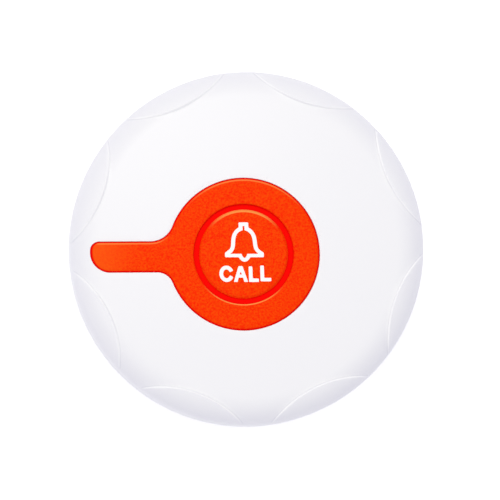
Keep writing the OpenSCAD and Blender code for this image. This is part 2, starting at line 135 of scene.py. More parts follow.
def inside(points: np.ndarray, loop: np.ndarray) -> np.ndarray:
    """Tells which points lie inside a closed outline.

    Args:
        points: rows of x and y.
        loop: corners of the outline, in order.

    Returns:
        One truth value for each point.
    """
    nxt = np.roll(loop, -1, axis=0)
    x, y = points[:, 0][:, None], points[:, 1][:, None]
    crosses = (loop[:, 1] > y) != (nxt[:, 1] > y)
    rise = np.where(nxt[:, 1] == loop[:, 1], 1.0, nxt[:, 1] - loop[:, 1])
    at = loop[:, 0] + (y - loop[:, 1]) / rise * (nxt[:, 0] - loop[:, 0])
    return (crosses & (x < at)).sum(1) % 2 == 1


def gap_to(points: np.ndarray, loop: np.ndarray) -> np.ndarray:
    """Distance from each point to the nearest corner of an outline that has close corners.

    Args:
        points: rows of x and y.
        loop: corners of the outline.

    Returns:
        One distance for each point.
    """
    best = np.full(len(points), np.inf)
    for part in np.array_split(loop, max(1, len(loop) // 200)):
        away = np.hypot(points[:, 0][:, None] - part[:, 0], points[:, 1][:, None] - part[:, 1])
        best = np.minimum(best, away.min(1))
    return best


def clear_of(points: np.ndarray, hole: np.ndarray, gap: float) -> np.ndarray:
    """Those of the points that lie outside a hole and further than a gap from its corners."""
    points = points[~inside(points, hole)]
    return points[gap_to(points, hole) > gap]


def triangulated(
    loops: Sequence[np.ndarray],
    creases: Sequence[np.ndarray] = (),
    seeds: np.ndarray = NO_POINTS,
    margin: float = 1e-6,
) -> tuple[np.ndarray, np.ndarray]:
    """Cuts a part of the plane into triangles that don't cross the given curves.

    Args:
        loops: closed curves.
        creases: open curves.
        seeds: further points.
        margin: points nearer than this are one.

    Returns:
        The points as rows of x and y, and the triangles as rows of three indices.
    """
    edges, first = [], 0
    for curve, joins in [*((c, len(c)) for c in loops), *((c, len(c) - 1) for c in creases)]:
        edges += [(first + i, first + (i + 1) % len(curve)) for i in range(joins)]
        first += len(curve)
    points = np.concatenate([*loops, *creases, seeds])
    flat = [Vector((float(x), float(y))) for x, y in points]
    out, _, faces, *_ = delaunay_2d_cdt(flat, edges, [], 0, margin, False)
    return np.array([tuple(v) for v in out]), np.array([tuple(f) for f in faces], int)


# ------------------------------------------------------------------------------- mesh building


@dataclass
class Skin:
    """Gathers the points and faces of one piece, in millimetres, and makes its mesh."""

    points: list[tuple[float, ...]] = field(default_factory=list)
    faces: list[tuple[int, ...]] = field(default_factory=list)

    def add(self, points: np.ndarray, faces: Iterable[Sequence[int]]) -> None:
        """Adds faces that index the given points.

        Args:
            points: rows of x, y and z.
            faces: indices of each face's points.
        """
        base = len(self.points)
        self.points.extend(map(tuple, np.asarray(points, float)))
        self.faces.extend(tuple(base + int(i) for i in f) for f in faces)

    def bands(self, rows: Sequence[np.ndarray]) -> None:
        """Joins closed rows of equal length, each to the next, by quads.

        Args:
            rows: closed rows of x, y and z.
        """
        count = len(rows[0])
        quads = []
        for low in range(0, (len(rows) - 1) * count, count):
            for i in range(count):
                nxt = (i + 1) % count
                quads.append((low + i, low + nxt, low + count + nxt, low + count + i))
        self.add(np.concatenate(rows), quads)

    def cap(self, row: np.ndarray) -> None:
        """Closes a row by triangles to its middle.

        Args:
            row: closed row of x, y and z.
        """
        count = len(row)
        fan = [(i, (i + 1) % count, count) for i in range(count)]
        self.add(np.concatenate([row, row.mean(0, keepdims=True)]), fan)

    def region(
        self,
        outer: np.ndarray,
        place: Place,
        holes: Sequence[np.ndarray] = (),
        creases: Sequence[np.ndarray] = (),
        seeds: np.ndarray = NO_POINTS,
    ) -> None:
        """Fills a flat region by triangles and places its points on a surface.

        Args:
            outer: outline of the region.
            place: takes rows of x and y and gives rows of x, y and z.
            holes: outlines left empty.
            creases: open curves that triangles don't cross.
            seeds: further points inside the region.
        """
        flat, tri = triangulated([outer, *holes], creases, seeds)
        middle = flat[tri].mean(1)
        keep = inside(middle, outer)
        for hole in holes:
            keep &= ~inside(middle, hole)
        self.add(place(flat), tri[keep])

    def revolve(self, profile: Sequence[Point], count: int, centre: Point = (0.0, 0.0)) -> None:
        """Turns an outline about an upright axis.

        Args:
            profile: radius and height of its corners; an end with the radius 0 is capped.
            count: points round the axis.
            centre: place of the axis.
        """
        rows = [level(ring(radius, count, centre), z) for radius, z in profile if radius]
        self.bands(rows)
        for (radius, _), row in ((profile[0], rows[0]), (profile[-1], rows[-1])):
            if not radius:
                self.cap(row)

    def make(self, name: str, sharp_deg: float = 32.0) -> Object:
        """Makes the object.

        Args:
            name: name of the piece.
            sharp_deg: edges that turn by more than this are shaded sharp.

        Returns:
            The object, at the frame's origin.
        """
        mesh = bpy.data.meshes.new(name)
        mesh.from_pydata([tuple(c * MM for c in p) for p in self.points], [], self.faces)
        shape = bmesh.new()
        shape.from_mesh(mesh)
        bmesh.ops.remove_doubles(shape, verts=shape.verts[:], dist=WELD * MM)
        bmesh.ops.dissolve_degenerate(shape, edges=shape.edges[:], dist=WELD * MM * 0.5)
        bmesh.ops.recalc_face_normals(shape, faces=shape.faces[:])
        for face in shape.faces:
            face.smooth = True
        for edge in shape.edges:
            if len(edge.link_faces) == 2 and edge.calc_face_angle(0.0) > math.radians(sharp_deg):
                edge.smooth = False
        shape.to_mesh(mesh)
        shape.free()
        return placed(name, mesh)


def placed(name: str, data: bpy.types.ID) -> Object:
    """Makes an object of a mesh, a lamp or a camera and puts it into the scene.

    Args:
        name: name of the object.
        data: its mesh, lamp or camera.

    Returns:
        The object.
    """
    obj = bpy.data.objects.new(name, data)
    bpy.context.collection.objects.link(obj)
    return obj


# ------------------------------------------------------------------------------- the housing's form


@dataclass(frozen=True)
class Dome:
    """Outer form of the housing: a shallow sphere, a round shoulder and an upright side.

    Attributes:
        body_r: radius of the housing.
        body_h: height of the crown.
        shoulder_r: radius of the shoulder.
        dome_r: radius of the sphere.
    """

    body_r: float = 30.0
    body_h: float = 16.4
    shoulder_r: float = 5.2
    dome_r: float = 220.0

    @property
    def centre_z(self) -> float:
        """Height of the sphere's centre."""
        return self.body_h - self.dome_r

    @property
    def shoulder_x(self) -> float:
        """Distance of the shoulder's centre from the axis."""
        return self.body_r - self.shoulder_r

    @property
    def meet(self) -> float:
        """Angle from upright at which the sphere runs into the shoulder."""
        return math.asin(self.shoulder_x / (self.dome_r - self.shoulder_r))

    @property
    def shoulder_z(self) -> float:
        """Height of the shoulder's centre."""
        return self.centre_z + (self.dome_r - self.shoulder_r) * math.cos(self.meet)

    @property
    def meet_s(self) -> float:
        """Way along the surface from the crown to the shoulder."""
        return self.dome_r * self.meet

    @property
    def edge_s(self) -> float:
        """Way along the surface from the crown to the side."""
        return self.meet_s + self.shoulder_r * (math.pi / 2 - self.meet)

    def inset(self, wall: float) -> "Dome":
        """The form one wall further in."""
        sizes = (self.body_r, self.body_h, self.shoulder_r, self.dome_r)
        return Dome(*(size - wall for size in sizes))

    def tilt(self, way: np.ndarray) -> np.ndarray:
        """Angle between the surface and the level at a way from the crown."""
        over = self.meet + (way - self.meet_s) / self.shoulder_r
        return np.where(way < self.meet_s, way / self.dome_r, over)

    def section(self, way: np.ndarray) -> tuple[np.ndarray, np.ndarray]:
        """Radius and height at a way from the crown.

        Args:
            way: way along the surface from the crown.

        Returns:
            The distance from the axis, and the height.
        """
        tilt, dome = self.tilt(way), way < self.meet_s
        bend = np.where(dome, self.dome_r, self.shoulder_r)
        radius = np.where(dome, 0.0, self.shoulder_x) + bend * np.sin(tilt)
        height = np.where(dome, self.centre_z, self.shoulder_z) + bend * np.cos(tilt)
        return radius, height

    def way(self, radius: np.ndarray) -> np.ndarray:
        """Way along the surface from the crown to a radius.

        Args:
            radius: distance from the axis.

        Returns:
            The way along the surface.
        """
        on_dome = self.dome_r * np.arcsin(np.clip(radius / self.dome_r, 0, 1))
        over = np.arcsin(np.clip((radius - self.shoulder_x) / self.shoulder_r, 0, 1)) - self.meet
        return np.where(on_dome < self.meet_s, on_dome, self.meet_s + self.shoulder_r * over)

    def unrolled(self, flat: np.ndarray) -> np.ndarray:
        """Points in plan, each moved out until it is as far from the middle as its way is long."""
        radius = np.hypot(flat[:, 0], flat[:, 1])
        return flat * (self.way(radius) / radius)[:, None]

    def rolled(self, flat: np.ndarray) -> np.ndarray:
        """Points of the unrolled plane, set on the surface.

        Args:
            flat: rows of x and y.

        Returns:
            Rows of x, y and z.
        """
        way, angle = polar(flat)
        radius, height = self.section(way)
        return from_polar(radius, angle, height)

    def over(self, lift: float) -> Place:
        """Gives a function that sets points in plan on the surface, raised by lift.

        Args:
            lift: height above the surface.

        Returns:
            The function, which takes rows of x and y and gives rows of x, y and z.
        """

        def place(flat: np.ndarray) -> np.ndarray:
            """Sets points in plan on the raised surface."""
            height = self.section(self.way(np.hypot(flat[:, 0], flat[:, 1])))[1]
            return np.column_stack([flat, height + lift])

        return place

    def rounded(
        self, outline: Callable[[float], np.ndarray], radius: float, steps: int, lift: float = 0.0
    ) -> list[np.ndarray]:
        """Rows over a rounded upper edge, from the flat to the wall.

        Args:
            outline: gives the wall's outline in plan, moved back onto the flat by a distance.
            radius: radius of the edge.
            steps: number of bands.
            lift: height of the flat above the surface.

        Returns:
            Rows of x, y and z, one more than there are bands.
        """
        rows = []
        for a in np.linspace(0, math.pi / 2, steps + 1):
            drop = radius * (1 - math.cos(a))
            rows.append(self.over(lift - drop)(outline(radius * (1 - math.sin(a)))))
        return rows

    def seeds(self, spacing: float, shoulder_spacing: float, margin: float) -> np.ndarray:
        """Rings of points in the unrolled plane.

        Args:
            spacing: distance between rings on the dome.
            shoulder_spacing: distance between rings on the shoulder.
            margin: way left free before the side.

        Returns:
            The points as rows of x and y.
        """
        rings: list[np.ndarray] = [np.zeros((1, 2))]
        way = spacing
        while way < self.edge_s - margin:
            apart = spacing * 1.3
            turns = 180 if way > self.meet_s else max(12, int(2 * math.pi * way / apart))
            rings.append(ring(way, turns))
            way += spacing if way < self.meet_s - spacing else shoulder_spacing
        return np.concatenate(rings)


@dataclass(frozen=True)
class Keyhole:
    """Outline of the key: a round head with a tail towards -X.

    Attributes:
        centre: place of the head's centre.
        head_r: radius of the head.
        tail_len: distance from the head's centre to the tail's tip.
        tail_w: width of the tail.
        far: radius of the tip's corner on the +Y side.
        near: radius of the tip's corner on the -Y side.
        neck_far: radius of the hollow curve between tail and head on the +Y side.
        neck_near: radius of the hollow curve on the -Y side.
        shift: how far the tail's middle line lies to the -Y side of the head's centre.
    """

    centre: tuple[float, float] = (-1.0, -1.3)
    head_r: float = 12.9
    tail_len: float = 25.82
    tail_w: float = 5.25
    far: float = 1.5
    near: float = 3.4
    neck_far: float = 3.95
    neck_near: float = 2.8
    shift: float = 0.45

    def neck(self, radius: float, edge: float) -> tuple[float, float, float]:
        """Centre of a hollow curve beside the tail, and its direction from the head's centre.

        Args:
            radius: radius of the curve.
            edge: distance of the tail's edge from the head's middle line.

        Returns:
            The centre's distance along and across that line, and the direction in radians.
        """
        across = edge + radius
        along = -math.sqrt((self.head_r + radius) ** 2 - across**2)
        return along, across, math.atan2(across, along)

    def outline(self, grow: float = 0.0) -> np.ndarray:
        """The outline, grown by a margin; every margin gives the same number of points.

        Args:
            grow: how far the outline is moved out.

        Returns:
            Its corners in order, as rows of x and y.
        """
        top, foot = self.tail_w / 2 - self.shift, self.tail_w / 2 + self.shift
        high_x, high_y, high = self.neck(self.neck_far, top)
        low_x, low_y, low = self.neck(self.neck_near, foot)
        far_x, far_y = -self.tail_len + self.far, top - self.far
        near_x, near_y = -self.tail_len + self.near, self.near - foot
        tip = -self.tail_len - grow
        parts = [
            arc((0, 0), self.head_r + grow, -low, high, 220),
            arc((high_x, high_y), self.neck_far - grow, high - math.pi, -math.pi / 2, 20),
            line((high_x, top + grow), (far_x, top + grow), 24),
            arc((far_x, far_y), self.far + grow, math.pi / 2, math.pi, 16),
            line((tip, far_y), (tip, near_y), 3),
            arc((near_x, near_y), self.near + grow, math.pi, 1.5 * math.pi, 20),
            line((near_x, -foot - grow), (low_x, -foot - grow), 24),
            arc((low_x, -low_y), self.neck_near - grow, math.pi / 2, math.pi - low, 16),
        ]
        return np.concatenate(parts) + np.array(self.centre)


@dataclass(frozen=True)
class Leaves:
    """Ring of leaf-shaped reliefs on the shoulder, each the housing's part in an upright cylinder.

    Attributes:
        count: number of leaves.
        height: how far a leaf stands proud.
        depth: how far a leaf reaches in from the side.
        curve_r: radius of the curve that edges a leaf.
        turn: turn of the ring against the tail, in degrees.
        half_step: half the width of the soft step at a leaf's edge.
        sunk: how far the leaf's form is inset, so that it dies into the side.
        end_deg: tilt of the shoulder at which the curve along a leaf's edge ends.
        side_gap: way left free between that curve and the side.
    """

    count: int = 8
    height: float = 0.33
    depth: float = 3.85
    curve_r: float = 19.4
    turn: float = 2.9
    half_step: float = 0.12
    sunk: float = 0.02
    end_deg: float = 84.0
    side_gap: float = 0.12

    def reach(self, dome: Dome) -> float:
        """Distance of the cylinders' axes from the housing's."""
        return dome.body_r - self.depth + self.curve_r

    def axes(self) -> np.ndarray:
        """Directions of the leaves' middles, in radians."""
        step = 2 * math.pi / self.count
        return math.radians(self.turn) + step * (np.arange(self.count) + 0.5)

    def outward(
        self, dome: Dome, way: np.ndarray, radius: np.ndarray, aside: np.ndarray
    ) -> tuple[np.ndarray, np.ndarray, np.ndarray]:
        """How the distance from a leaf's cylinder axis grows over the surface.

        Args:
            dome: form that the leaves stand on.
            way: way from the crown to each place.
            radius: distance of each place from the housing's axis.
            aside: direction of each place from the leaf's middle, in radians.

        Returns:
            The distance, its growth along the way, and its growth across the way.
        """
        reach = self.reach(dome)
        away = np.hypot(radius * np.cos(aside) - reach, radius * np.sin(aside))
        slope = np.maximum(np.cos(dome.tilt(way)), 0.0)
        along = (radius - reach * np.cos(aside)) / away * slope
        return away, along, reach * np.sin(aside) / away

    def edge(self, dome: Dome, offset: float, count: int = 90) -> list[np.ndarray]:
        """Curves along the leaves' edges in the unrolled plane.

        Args:
            dome: form that the leaves stand on.
            offset: distance from the edge, along the surface, into the leaf.
            count: number of points on a curve.

        Returns:
            One open curve for each leaf.
        """
        reach = self.reach(dome)
        last = dome.shoulder_x + dome.shoulder_r * math.sin(math.radians(self.end_deg))
        wide = math.acos((reach**2 + last**2 - self.curve_r**2) / (2 * reach * last))
        aside = wide * np.sin(np.linspace(-math.pi / 2, math.pi / 2, count))
        radius = reach * np.cos(aside) - np.sqrt(self.curve_r**2 - (reach * np.sin(aside)) ** 2)
        way = dome.way(radius)
        _, along, across = self.outward(dome, way, radius, aside)
        size = np.hypot(along, across)
        way = np.minimum(way - offset * along / size, dome.edge_s - self.side_gap)
        turns = [a + (aside - offset * across / size / radius) for a in self.axes()]
        return [np.stack([way * np.cos(turn), way * np.sin(turn)], 1) for turn in turns]

    def share(self, dome: Dome, flat: np.ndarray) -> np.ndarray:
        """How much of the leaves' height points of the unrolled plane take, from 0 to 1.

        Args:
            dome: form that the leaves stand on.
            flat: rows of x and y.

        Returns:
            One share for each point.
        """
        way, angle = polar(flat)
        radius = dome.section(way)[0]
        best = np.full(len(flat), -np.inf)
        for axis in self.axes():
            aside = (angle - axis + math.pi) % (2 * math.pi) - math.pi
            away, along, across = self.outward(dome, way, radius, aside)
            growth = np.maximum(np.hypot(along, across), 0.05)
            best = np.maximum(best, (self.curve_r - away) / growth)
        part = np.clip((best + self.half_step) / (2 * self.half_step), 0, 1)
        return part * part * (3 - 2 * part)

    def on(self, dome: Dome) -> Place:
        """Gives a function that sets points of the unrolled plane on the housing and its leaves.

        Args:
            dome: form that the leaves stand on.

        Returns:
            The function, which takes rows of x and y and gives rows of x, y and z.
        """

        def place(flat: np.ndarray) -> np.ndarray:
            """Sets points of the unrolled plane on the housing and its leaves.

            Args:
                flat: rows of x and y.

            Returns:
                Rows of x, y and z.
            """
            way, angle = polar(flat)
            radius, height = dome.section(way)
            tilt = dome.tilt(way)
            lift = self.share(dome, flat) * np.maximum(self.height * np.cos(tilt) - self.sunk, 0.0)
            return from_polar(radius + lift * np.sin(tilt), angle, height + lift * np.cos(tilt))

        return place


# ------------------------------------------------------------------------------- nodes


class Net:
    """Short hand for building nodes."""

    def __init__(self, tree: Tree) -> None:
        """Takes the tree to build in."""
        self.tree = tree

    def put(self, target: Socket, value: object) -> None:
        """Links a socket to the target, or sets the target's own value.

        Args:
            target: socket that takes the value.
            value: an output socket, or a plain value.
        """
        if isinstance(value, Socket):
            self.tree.links.new(value, target)
        else:
            target.default_value = value

    def node(self, kind: str, **values: object) -> Node:
        """Adds a node.

        Args:
            kind: the node's type, without the ShaderNode before it.
            values: attributes, or input sockets by name with underscores for spaces.

        Returns:
            The node.
        """
        made = self.tree.nodes.new("ShaderNode" + kind)
        for key, value in values.items():
            if hasattr(made, key):
                setattr(made, key, value)
            else:
                self.put(made.inputs[key.replace("_", " ")], value)
        return made

    def math(self, operation: str, *values: object, clamp: bool = False) -> Socket:
        """Adds a Math node and gives its output.

        Args:
            operation: what the node does.
            values: output sockets or numbers, in the order of its inputs.
            clamp: whether the result is kept between 0 and 1.

        Returns:
            The result.
        """
        made = self.node("Math", operation=operation, use_clamp=clamp)
        for socket, value in zip(made.inputs, values):
            self.put(socket, value)
        return made.outputs[0]

    def plus(self, first: object, second: object) -> Socket:
        """Sum of two values."""
        return self.math("ADD", first, second)

    def minus(self, first: object, second: object) -> Socket:
        """Difference of two values."""
        return self.math("SUBTRACT", first, second)

    def times(self, first: object, second: object) -> Socket:
        """Product of two values."""
        return self.math("MULTIPLY", first, second)

    def length(self, first: object, second: object) -> Socket:
        """Length of the level vector with two parts."""
        vector = self.node("CombineXYZ", X=first, Y=second).outputs[0]
        return self.node("VectorMath", operation="LENGTH", Vector=vector).outputs["Value"]

    def ramp(self, value: Socket, start: object, end: object) -> Socket:
        """Soft step of a value, from 0 at start to 1 at end."""
        steps = {"Value": value, "From_Min": start, "From_Max": end}
        return self.node("MapRange", interpolation_type="SMOOTHSTEP", **steps).outputs[0]

    def mix(self, share: object, first: object, second: object) -> Socket:
        """Mixes two colours by a share and gives the result.

        Args:
            share: 0 for the first colour, 1 for the second.
            first: a colour, or an output socket with one.
            second: the same.

        Returns:
            The mixed colour.
        """
        made = self.node("Mix", data_type="RGBA")
        self.put(made.inputs[0], share)
        for socket, colour in ((made.inputs[6], first), (made.inputs[7], second)):
            self.put(socket, (*colour, 1.0) if isinstance(colour, tuple) else colour)
        return made.outputs[2]

    def where(self) -> Socket:
        """Place in the object's own space."""
        return self.node("TexCoord").outputs["Object"]

    def parts(self, vector: Socket) -> bpy.types.NodeOutputs:
        """The X, Y and Z of a vector."""
        return self.node("SeparateXYZ", Vector=vector).outputs

    def where_mm(self, axes: str) -> Iterable[Socket]:
        """Place in the object's own space along each of the axes named, in millimetres."""
        place = self.parts(self.where())
        return (self.times(place[axis], 1 / MM) for axis in axes)

    def noise(self, size_mm: Socket, vector: Socket, detail: float, roughness: float) -> Socket:
        """Noise with features of a size in millimetres."""
        sizes = {"Scale": self.math("DIVIDE", 1 / MM, size_mm), "Detail": detail}
        return self.node("TexNoise", Vector=vector, Roughness=roughness, **sizes).outputs["Fac"]


def bare_net(holder: bpy.types.Material | bpy.types.World) -> Net:
    """Gives a material or a world an empty node tree.

    Args:
        holder: the material or the world.

    Returns:
        Short hand for building its nodes.
    """
    holder.use_nodes = True
    holder.node_tree.nodes.clear()
    return Net(holder.node_tree)


class Effect(Net):
    """A node group for an effect over a surface, which takes numbers and gives masks or heights."""

    def __init__(self, name: str, inputs: dict[str, float], outputs: Sequence[str]) -> None:
        """Starts the group.

        Args:
            name: name of the group.
            inputs: name and default value of each input.
            outputs: name of each output.
        """
        super().__init__(bpy.data.node_groups.new(name, "ShaderNodeTree"))
        new_socket, kind = self.tree.interface.new_socket, "NodeSocketFloat"
        for key, value in inputs.items():
            new_socket(key, in_out="INPUT", socket_type=kind).default_value = value
        for key in outputs:
            new_socket(key, in_out="OUTPUT", socket_type=kind)
        self.given = self.tree.nodes.new("NodeGroupInput").outputs
        self.out = self.tree.nodes.new("NodeGroupOutput").inputs


@cache
def grain_group() -> Tree:
    """Fine moulded or cast grain: a height for a bump, and a speckle mask.

    Returns:
        The group's tree.
    """
    net = Effect("Moulded grain", {"Size mm": 0.2}, ("Height", "Speckle"))
    fine = net.noise(net.given["Size mm"], net.where(), detail=2.0, roughness=0.6)
    speckle = net.node("MapRange", Value=fine, From_Min=0.34, From_Max=0.66)
    net.put(net.out["Height"], fine)
    net.put(net.out["Speckle"], speckle.outputs[0])
    return net.tree


@cache
def rub_group() -> Tree:
    """Faint rub marks of handling: a mask of long, thin, broken streaks.

    Returns:
        The group's tree.
    """
    net = Effect("Handling rub", {"Amount": 0.3, "Size mm": 3.0}, ("Mask",))
    turn, stretch = (0.0, 0.0, 0.6), (1.0, 7.0, 1.0)
    drawn = net.node("Mapping", Vector=net.where(), Rotation=turn, Scale=stretch).outputs[0]
    streak = net.noise(net.given["Size mm"], drawn, detail=4.0, roughness=0.55)
    picked = net.node("MapRange", Value=streak, From_Min=0.62, From_Max=0.78)
    net.put(net.out["Mask"], net.times(picked.outputs[0], net.given["Amount"]))
    return net.tree


@cache
def key_painted_light_group() -> Tree:
    """Masks of painted light and shade on the key: painted shade where sunk or on a wall, a painted
    highlight on an edge that faces the window lamp, and painted light along the tail.

    Returns:
        The group's tree.
    """
    sizes = {"Top mm": 16.6, "Dome mm": 220.0, "Tail start mm": -17.0, "Tail end mm": -27.5}
    centre = {"Head x mm": 0.0, "Head y mm": 0.0}
    net = Effect("Painted light and shade on the key", sizes | centre, ("Painted shade", "Painted highlight", "Tail"))
    given, out = net.given, net.out
    x, y, z = net.where_mm("XYZ")
    out_square = net.plus(net.times(x, x), net.times(y, y))
    fall = net.math("DIVIDE", out_square, net.times(given["Dome mm"], 2.0))
    below = net.minus(net.minus(given["Top mm"], fall), z)
    facing = net.parts(net.node("NewGeometry").outputs["Normal"])
    from_head = net.length(net.minus(x, given["Head x mm"]), net.minus(y, given["Head y mm"]))
    inner = net.ramp(from_head, 9.7, 9.5)  # the groove and the button, without the outer rim
    # painted shade: the steep parts of the round edges, and places sunk below the key's face, get a
    # darker red
    rim = net.ramp(facing["Z"], 0.9, 0.74)  # steep part of the outer rim's round edge
    lip = net.ramp(facing["Z"], 0.5, 0.2)  # steep part of the edges along the groove
    wall = net.plus(net.times(inner, lip), net.times(net.minus(1.0, inner), rim))
    sunk = net.ramp(below, 0.3, 0.6)
    net.put(out["Painted shade"], net.math("MAXIMUM", wall, sunk))
    # painted highlight: edges that bend from the face and look towards +Y, where the window lamp
    # hangs, get a lighter colour; the outer rim gets less
    bent = net.ramp(facing["Z"], 0.99, 0.96)
    sideways = net.math("DIVIDE", facing["Y"], net.length(facing["X"], facing["Y"]))
    lit = net.times(bent, net.ramp(sideways, 0.55, 1.0))
    rim_share = 0.6  # the outer rim is lit less than the edges along the groove
    share = net.plus(net.times(inner, 1.0 - rim_share), rim_share)
    net.put(out["Painted highlight"], net.times(lit, share))
    # mask along the tail, for the painted light at its tip
    net.put(out["Tail"], net.ramp(x, given["Tail start mm"], given["Tail end mm"]))
    return net.tree


@cache
def leaf_edge_group() -> Tree:
    """Masks along the leaves' edges: the crest of the step, for a painted highlight, and its foot,
    for painted shade.

    Returns:
        The group's tree.
    """
    sizes = {"Reach mm": 45.5, "Curve mm": 19.4, "Side mm": 30.0}
    net = Effect("Leaf edge highlight and shade", {"Step rad": 0.785, "Turn rad": 0.05} | sizes, ("Crest highlight", "Foot shade"))
    given = net.given
    x, y = net.where_mm("XY")
    turned = net.minus(net.math("ARCTAN2", y, x), given["Turn rad"])
    half = net.times(given["Step rad"], 0.5)
    folded = net.minus(net.math("FLOORED_MODULO", turned, given["Step rad"]), half)
    out_mm = net.length(x, y)
    along = net.minus(net.times(out_mm, net.math("COSINE", folded)), given["Reach mm"])
    across = net.times(out_mm, net.math("SINE", folded))
    past = net.minus(net.length(along, across), given["Curve mm"])
    on_top = net.ramp(net.minus(given["Side mm"], out_mm), 0.12, 0.45)
    # where past the edge, in millimetres, a mask rises, and where it ends
    rises = {"Crest highlight": (-0.32, -0.17), "Foot shade": (-0.02, 0.07)}
    ends = {"Crest highlight": (0.02, -0.1), "Foot shade": (0.24, 0.12)}
    for name, rise in rises.items():
        mask = net.times(net.ramp(past, *rise), net.ramp(past, *ends[name]))
        net.put(net.out[name], net.times(mask, on_top))
    return net.tree


# ------------------------------------------------------------------------------- finishes


@dataclass(frozen=True)
class Finish:
    """An opaque finish.

    Attributes:
        name: name of the material.
        colour: base colour, linear.
        roughness: roughness of the surface.
        metallic: 1 for metal.
        specular: specular level.
        grain_mm: size of the grain, or 0 for none.
        grain_height: height of the grain's bump, in millimetres.
        speckle: how much the grain darkens the colour.
        fleck: how bright its flecks are against the colour.
        bump: strength of the grain's bump.
        rub: how much handling changes the roughness.
        worn: how much rougher the surface is where it is rubbed most.
    """

    name: str
    colour: Colour
    roughness: float = 0.5
    metallic: float = 0.0
    specular: float = 0.5
    grain_mm: float = 0.0
    grain_height: float = 0.01
    speckle: float = 0.0
    fleck: float = 0.4
    bump: float = 0.6
    rub: float = 0.0
    worn: float = 0.25

    def start(self) -> tuple[bpy.types.Material, Net, Node]:
        """Makes the material with its shader and plain values.

        Returns:
            The material, short hand for its nodes, and its shader.
        """
        material = bpy.data.materials.new(self.name)
        material.diffuse_color = (*self.colour, 1.0)
        net = bare_net(material)
        shader = net.node("BsdfPrincipled", Base_Color=(*self.colour, 1.0))
        shader.inputs["Metallic"].default_value = self.metallic
        shader.inputs["Roughness"].default_value = self.roughness
        shader.inputs["Specular IOR Level"].default_value = self.specular
        net.node("OutputMaterial", Surface=shader.outputs[0])
        return material, net, shader

    def tint(self, net: Net, grain: Node | None) -> Socket | None:
        """Colour over the surface, or None where it is plain.

        Args:
            net: nodes of the material.
            grain: the grain's node, or None where there is no grain.

        Returns:
            The colour, or None.
        """
        if grain is None or not self.speckle:
            return None
        share = net.times(grain.outputs["Speckle"], self.speckle)
        return net.mix(share, self.colour, tuple(c * self.fleck for c in self.colour))

    def build(self) -> bpy.types.Material:
        """Makes the material.

        Returns:
            The material.
        """
        material, net, shader = self.start()
        grain = None
        if self.grain_mm:
            grain = net.node("Group", node_tree=grain_group(), Size_mm=self.grain_mm)
            bump = net.node("Bump", Strength=self.bump, Distance=self.grain_height * MM)
            net.put(bump.inputs["Height"], grain.outputs["Height"])
            net.put(shader.inputs["Normal"], bump.outputs[0])
        colour = self.tint(net, grain)
        if colour is not None:
            net.put(shader.inputs["Base Color"], colour)
        if self.rub:
            rub = net.node("Group", node_tree=rub_group(), Amount=self.rub)
            rougher = net.times(rub.outputs["Mask"], self.worn)
            rough = net.math("ADD", self.roughness, rougher, clamp=True)
            net.put(shader.inputs["Roughness"], rough)
        return material


@dataclass(frozen=True)
class CoverPlastic(Finish):
    """Satin cover, with a painted highlight along the leaves' crests and painted shade at the foot
    of their steps.

    Attributes:
        crest: colour of the painted highlight along a leaf's crest, linear.
        foot: colour of the painted shade at the foot of its step.
    """

    crest: Colour = (0.968, 0.963, 0.965)
    foot: Colour = (0.84, 0.835, 0.855)

    def tint(self, net: Net, grain: Node | None) -> Socket | None:
        """Shell colour with the leaves' edges.

        Args:
            net: nodes of the material.
            grain: the grain's node, or None where there is no grain.

        Returns:
            The colour.
        """
        leaves = Leaves()
        place = net.node(
            "Group",
            node_tree=leaf_edge_group(),
            Step_rad=2 * math.pi / leaves.count,
            Turn_rad=math.radians(leaves.turn),
            Reach_mm=leaves.reach(DOME),
            Curve_mm=leaves.curve_r,
            Side_mm=DOME.body_r,
        )
        # painted highlight along the leaves' crests, lighter than the shell
        worn = net.mix(place.outputs["Crest highlight"], self.colour, self.crest)
        # painted shade at the foot of each leaf's step, in the crease
        return net.mix(place.outputs["Foot shade"], worn, self.foot)


@dataclass(frozen=True)
class KeySilicone(Finish):
    """Cast silicone, mottled; painted light at the tail's tip, painted highlights on edges, painted
    shade where sunk.

    Attributes:
        dark: colour of the mottling's darker flecks, linear.
        pale: colour of its lighter flecks.
        tip: colour of the painted light at the tail's tip.
        edge: colour of a painted highlight on rounded edges that face the window lamp.
        deep: colour of the painted shade in the groove and on the walls.
        tip_light_share: how far the tail's tip takes that painted light.
        highlight_share: how far those edges take the painted highlight.
    """

    dark: Colour = (0.99, 0.012, 0.0003)
    pale: Colour = (1.0, 0.085, 0.001)
    tip: Colour = (1.0, 0.13, 0.008)
    edge: Colour = (1.0, 0.38, 0.08)
    deep: Colour = (0.97, 0.002, 0.0006)
    tip_light_share: float = 0.6
    highlight_share: float = 0.85

    def tint(self, net: Net, grain: Node | None) -> Socket | None:
        """Mottled colour with the painted light at the tail, the painted highlight on edges and the
        painted shade in sunk places.

        Args:
            net: nodes of the material.
            grain: the grain's node, or None where there is no grain.

        Returns:
            The colour.
        """
        x, y = KEY.centre
        place = net.node("Group", node_tree=key_painted_light_group(), Head_x_mm=x, Head_y_mm=y).outputs
        flecks = net.mix(grain.outputs["Speckle"], self.pale, self.dark)
        mottled = net.mix(self.speckle, self.colour, flecks)
        # painted light: the tail's tip is coloured lighter, standing in for stronger light there
        tip_painted_light = net.mix(net.times(place["Tail"], self.tip_light_share), mottled, self.tip)
        # painted highlight on the edges that face the window lamp
        lit = net.mix(net.times(place["Painted highlight"], self.highlight_share), tip_painted_light, self.edge)
        # painted shade in the groove and on the steep walls
        return net.mix(place["Painted shade"], lit, self.deep)


@dataclass(frozen=True)
class ClearFinish(Finish):
    """A clear finish, such as the light guide's.

    Attributes:
        ior: refractive index.
    """

    ior: float = 1.49

    def build(self) -> bpy.types.Material:
        """Makes the material.

        Returns:
            The material.
        """
        material, _, shader = self.start()
        shader.inputs["Transmission Weight"].default_value = 1.0
        shader.inputs["IOR"].default_value = self.ior
        return material


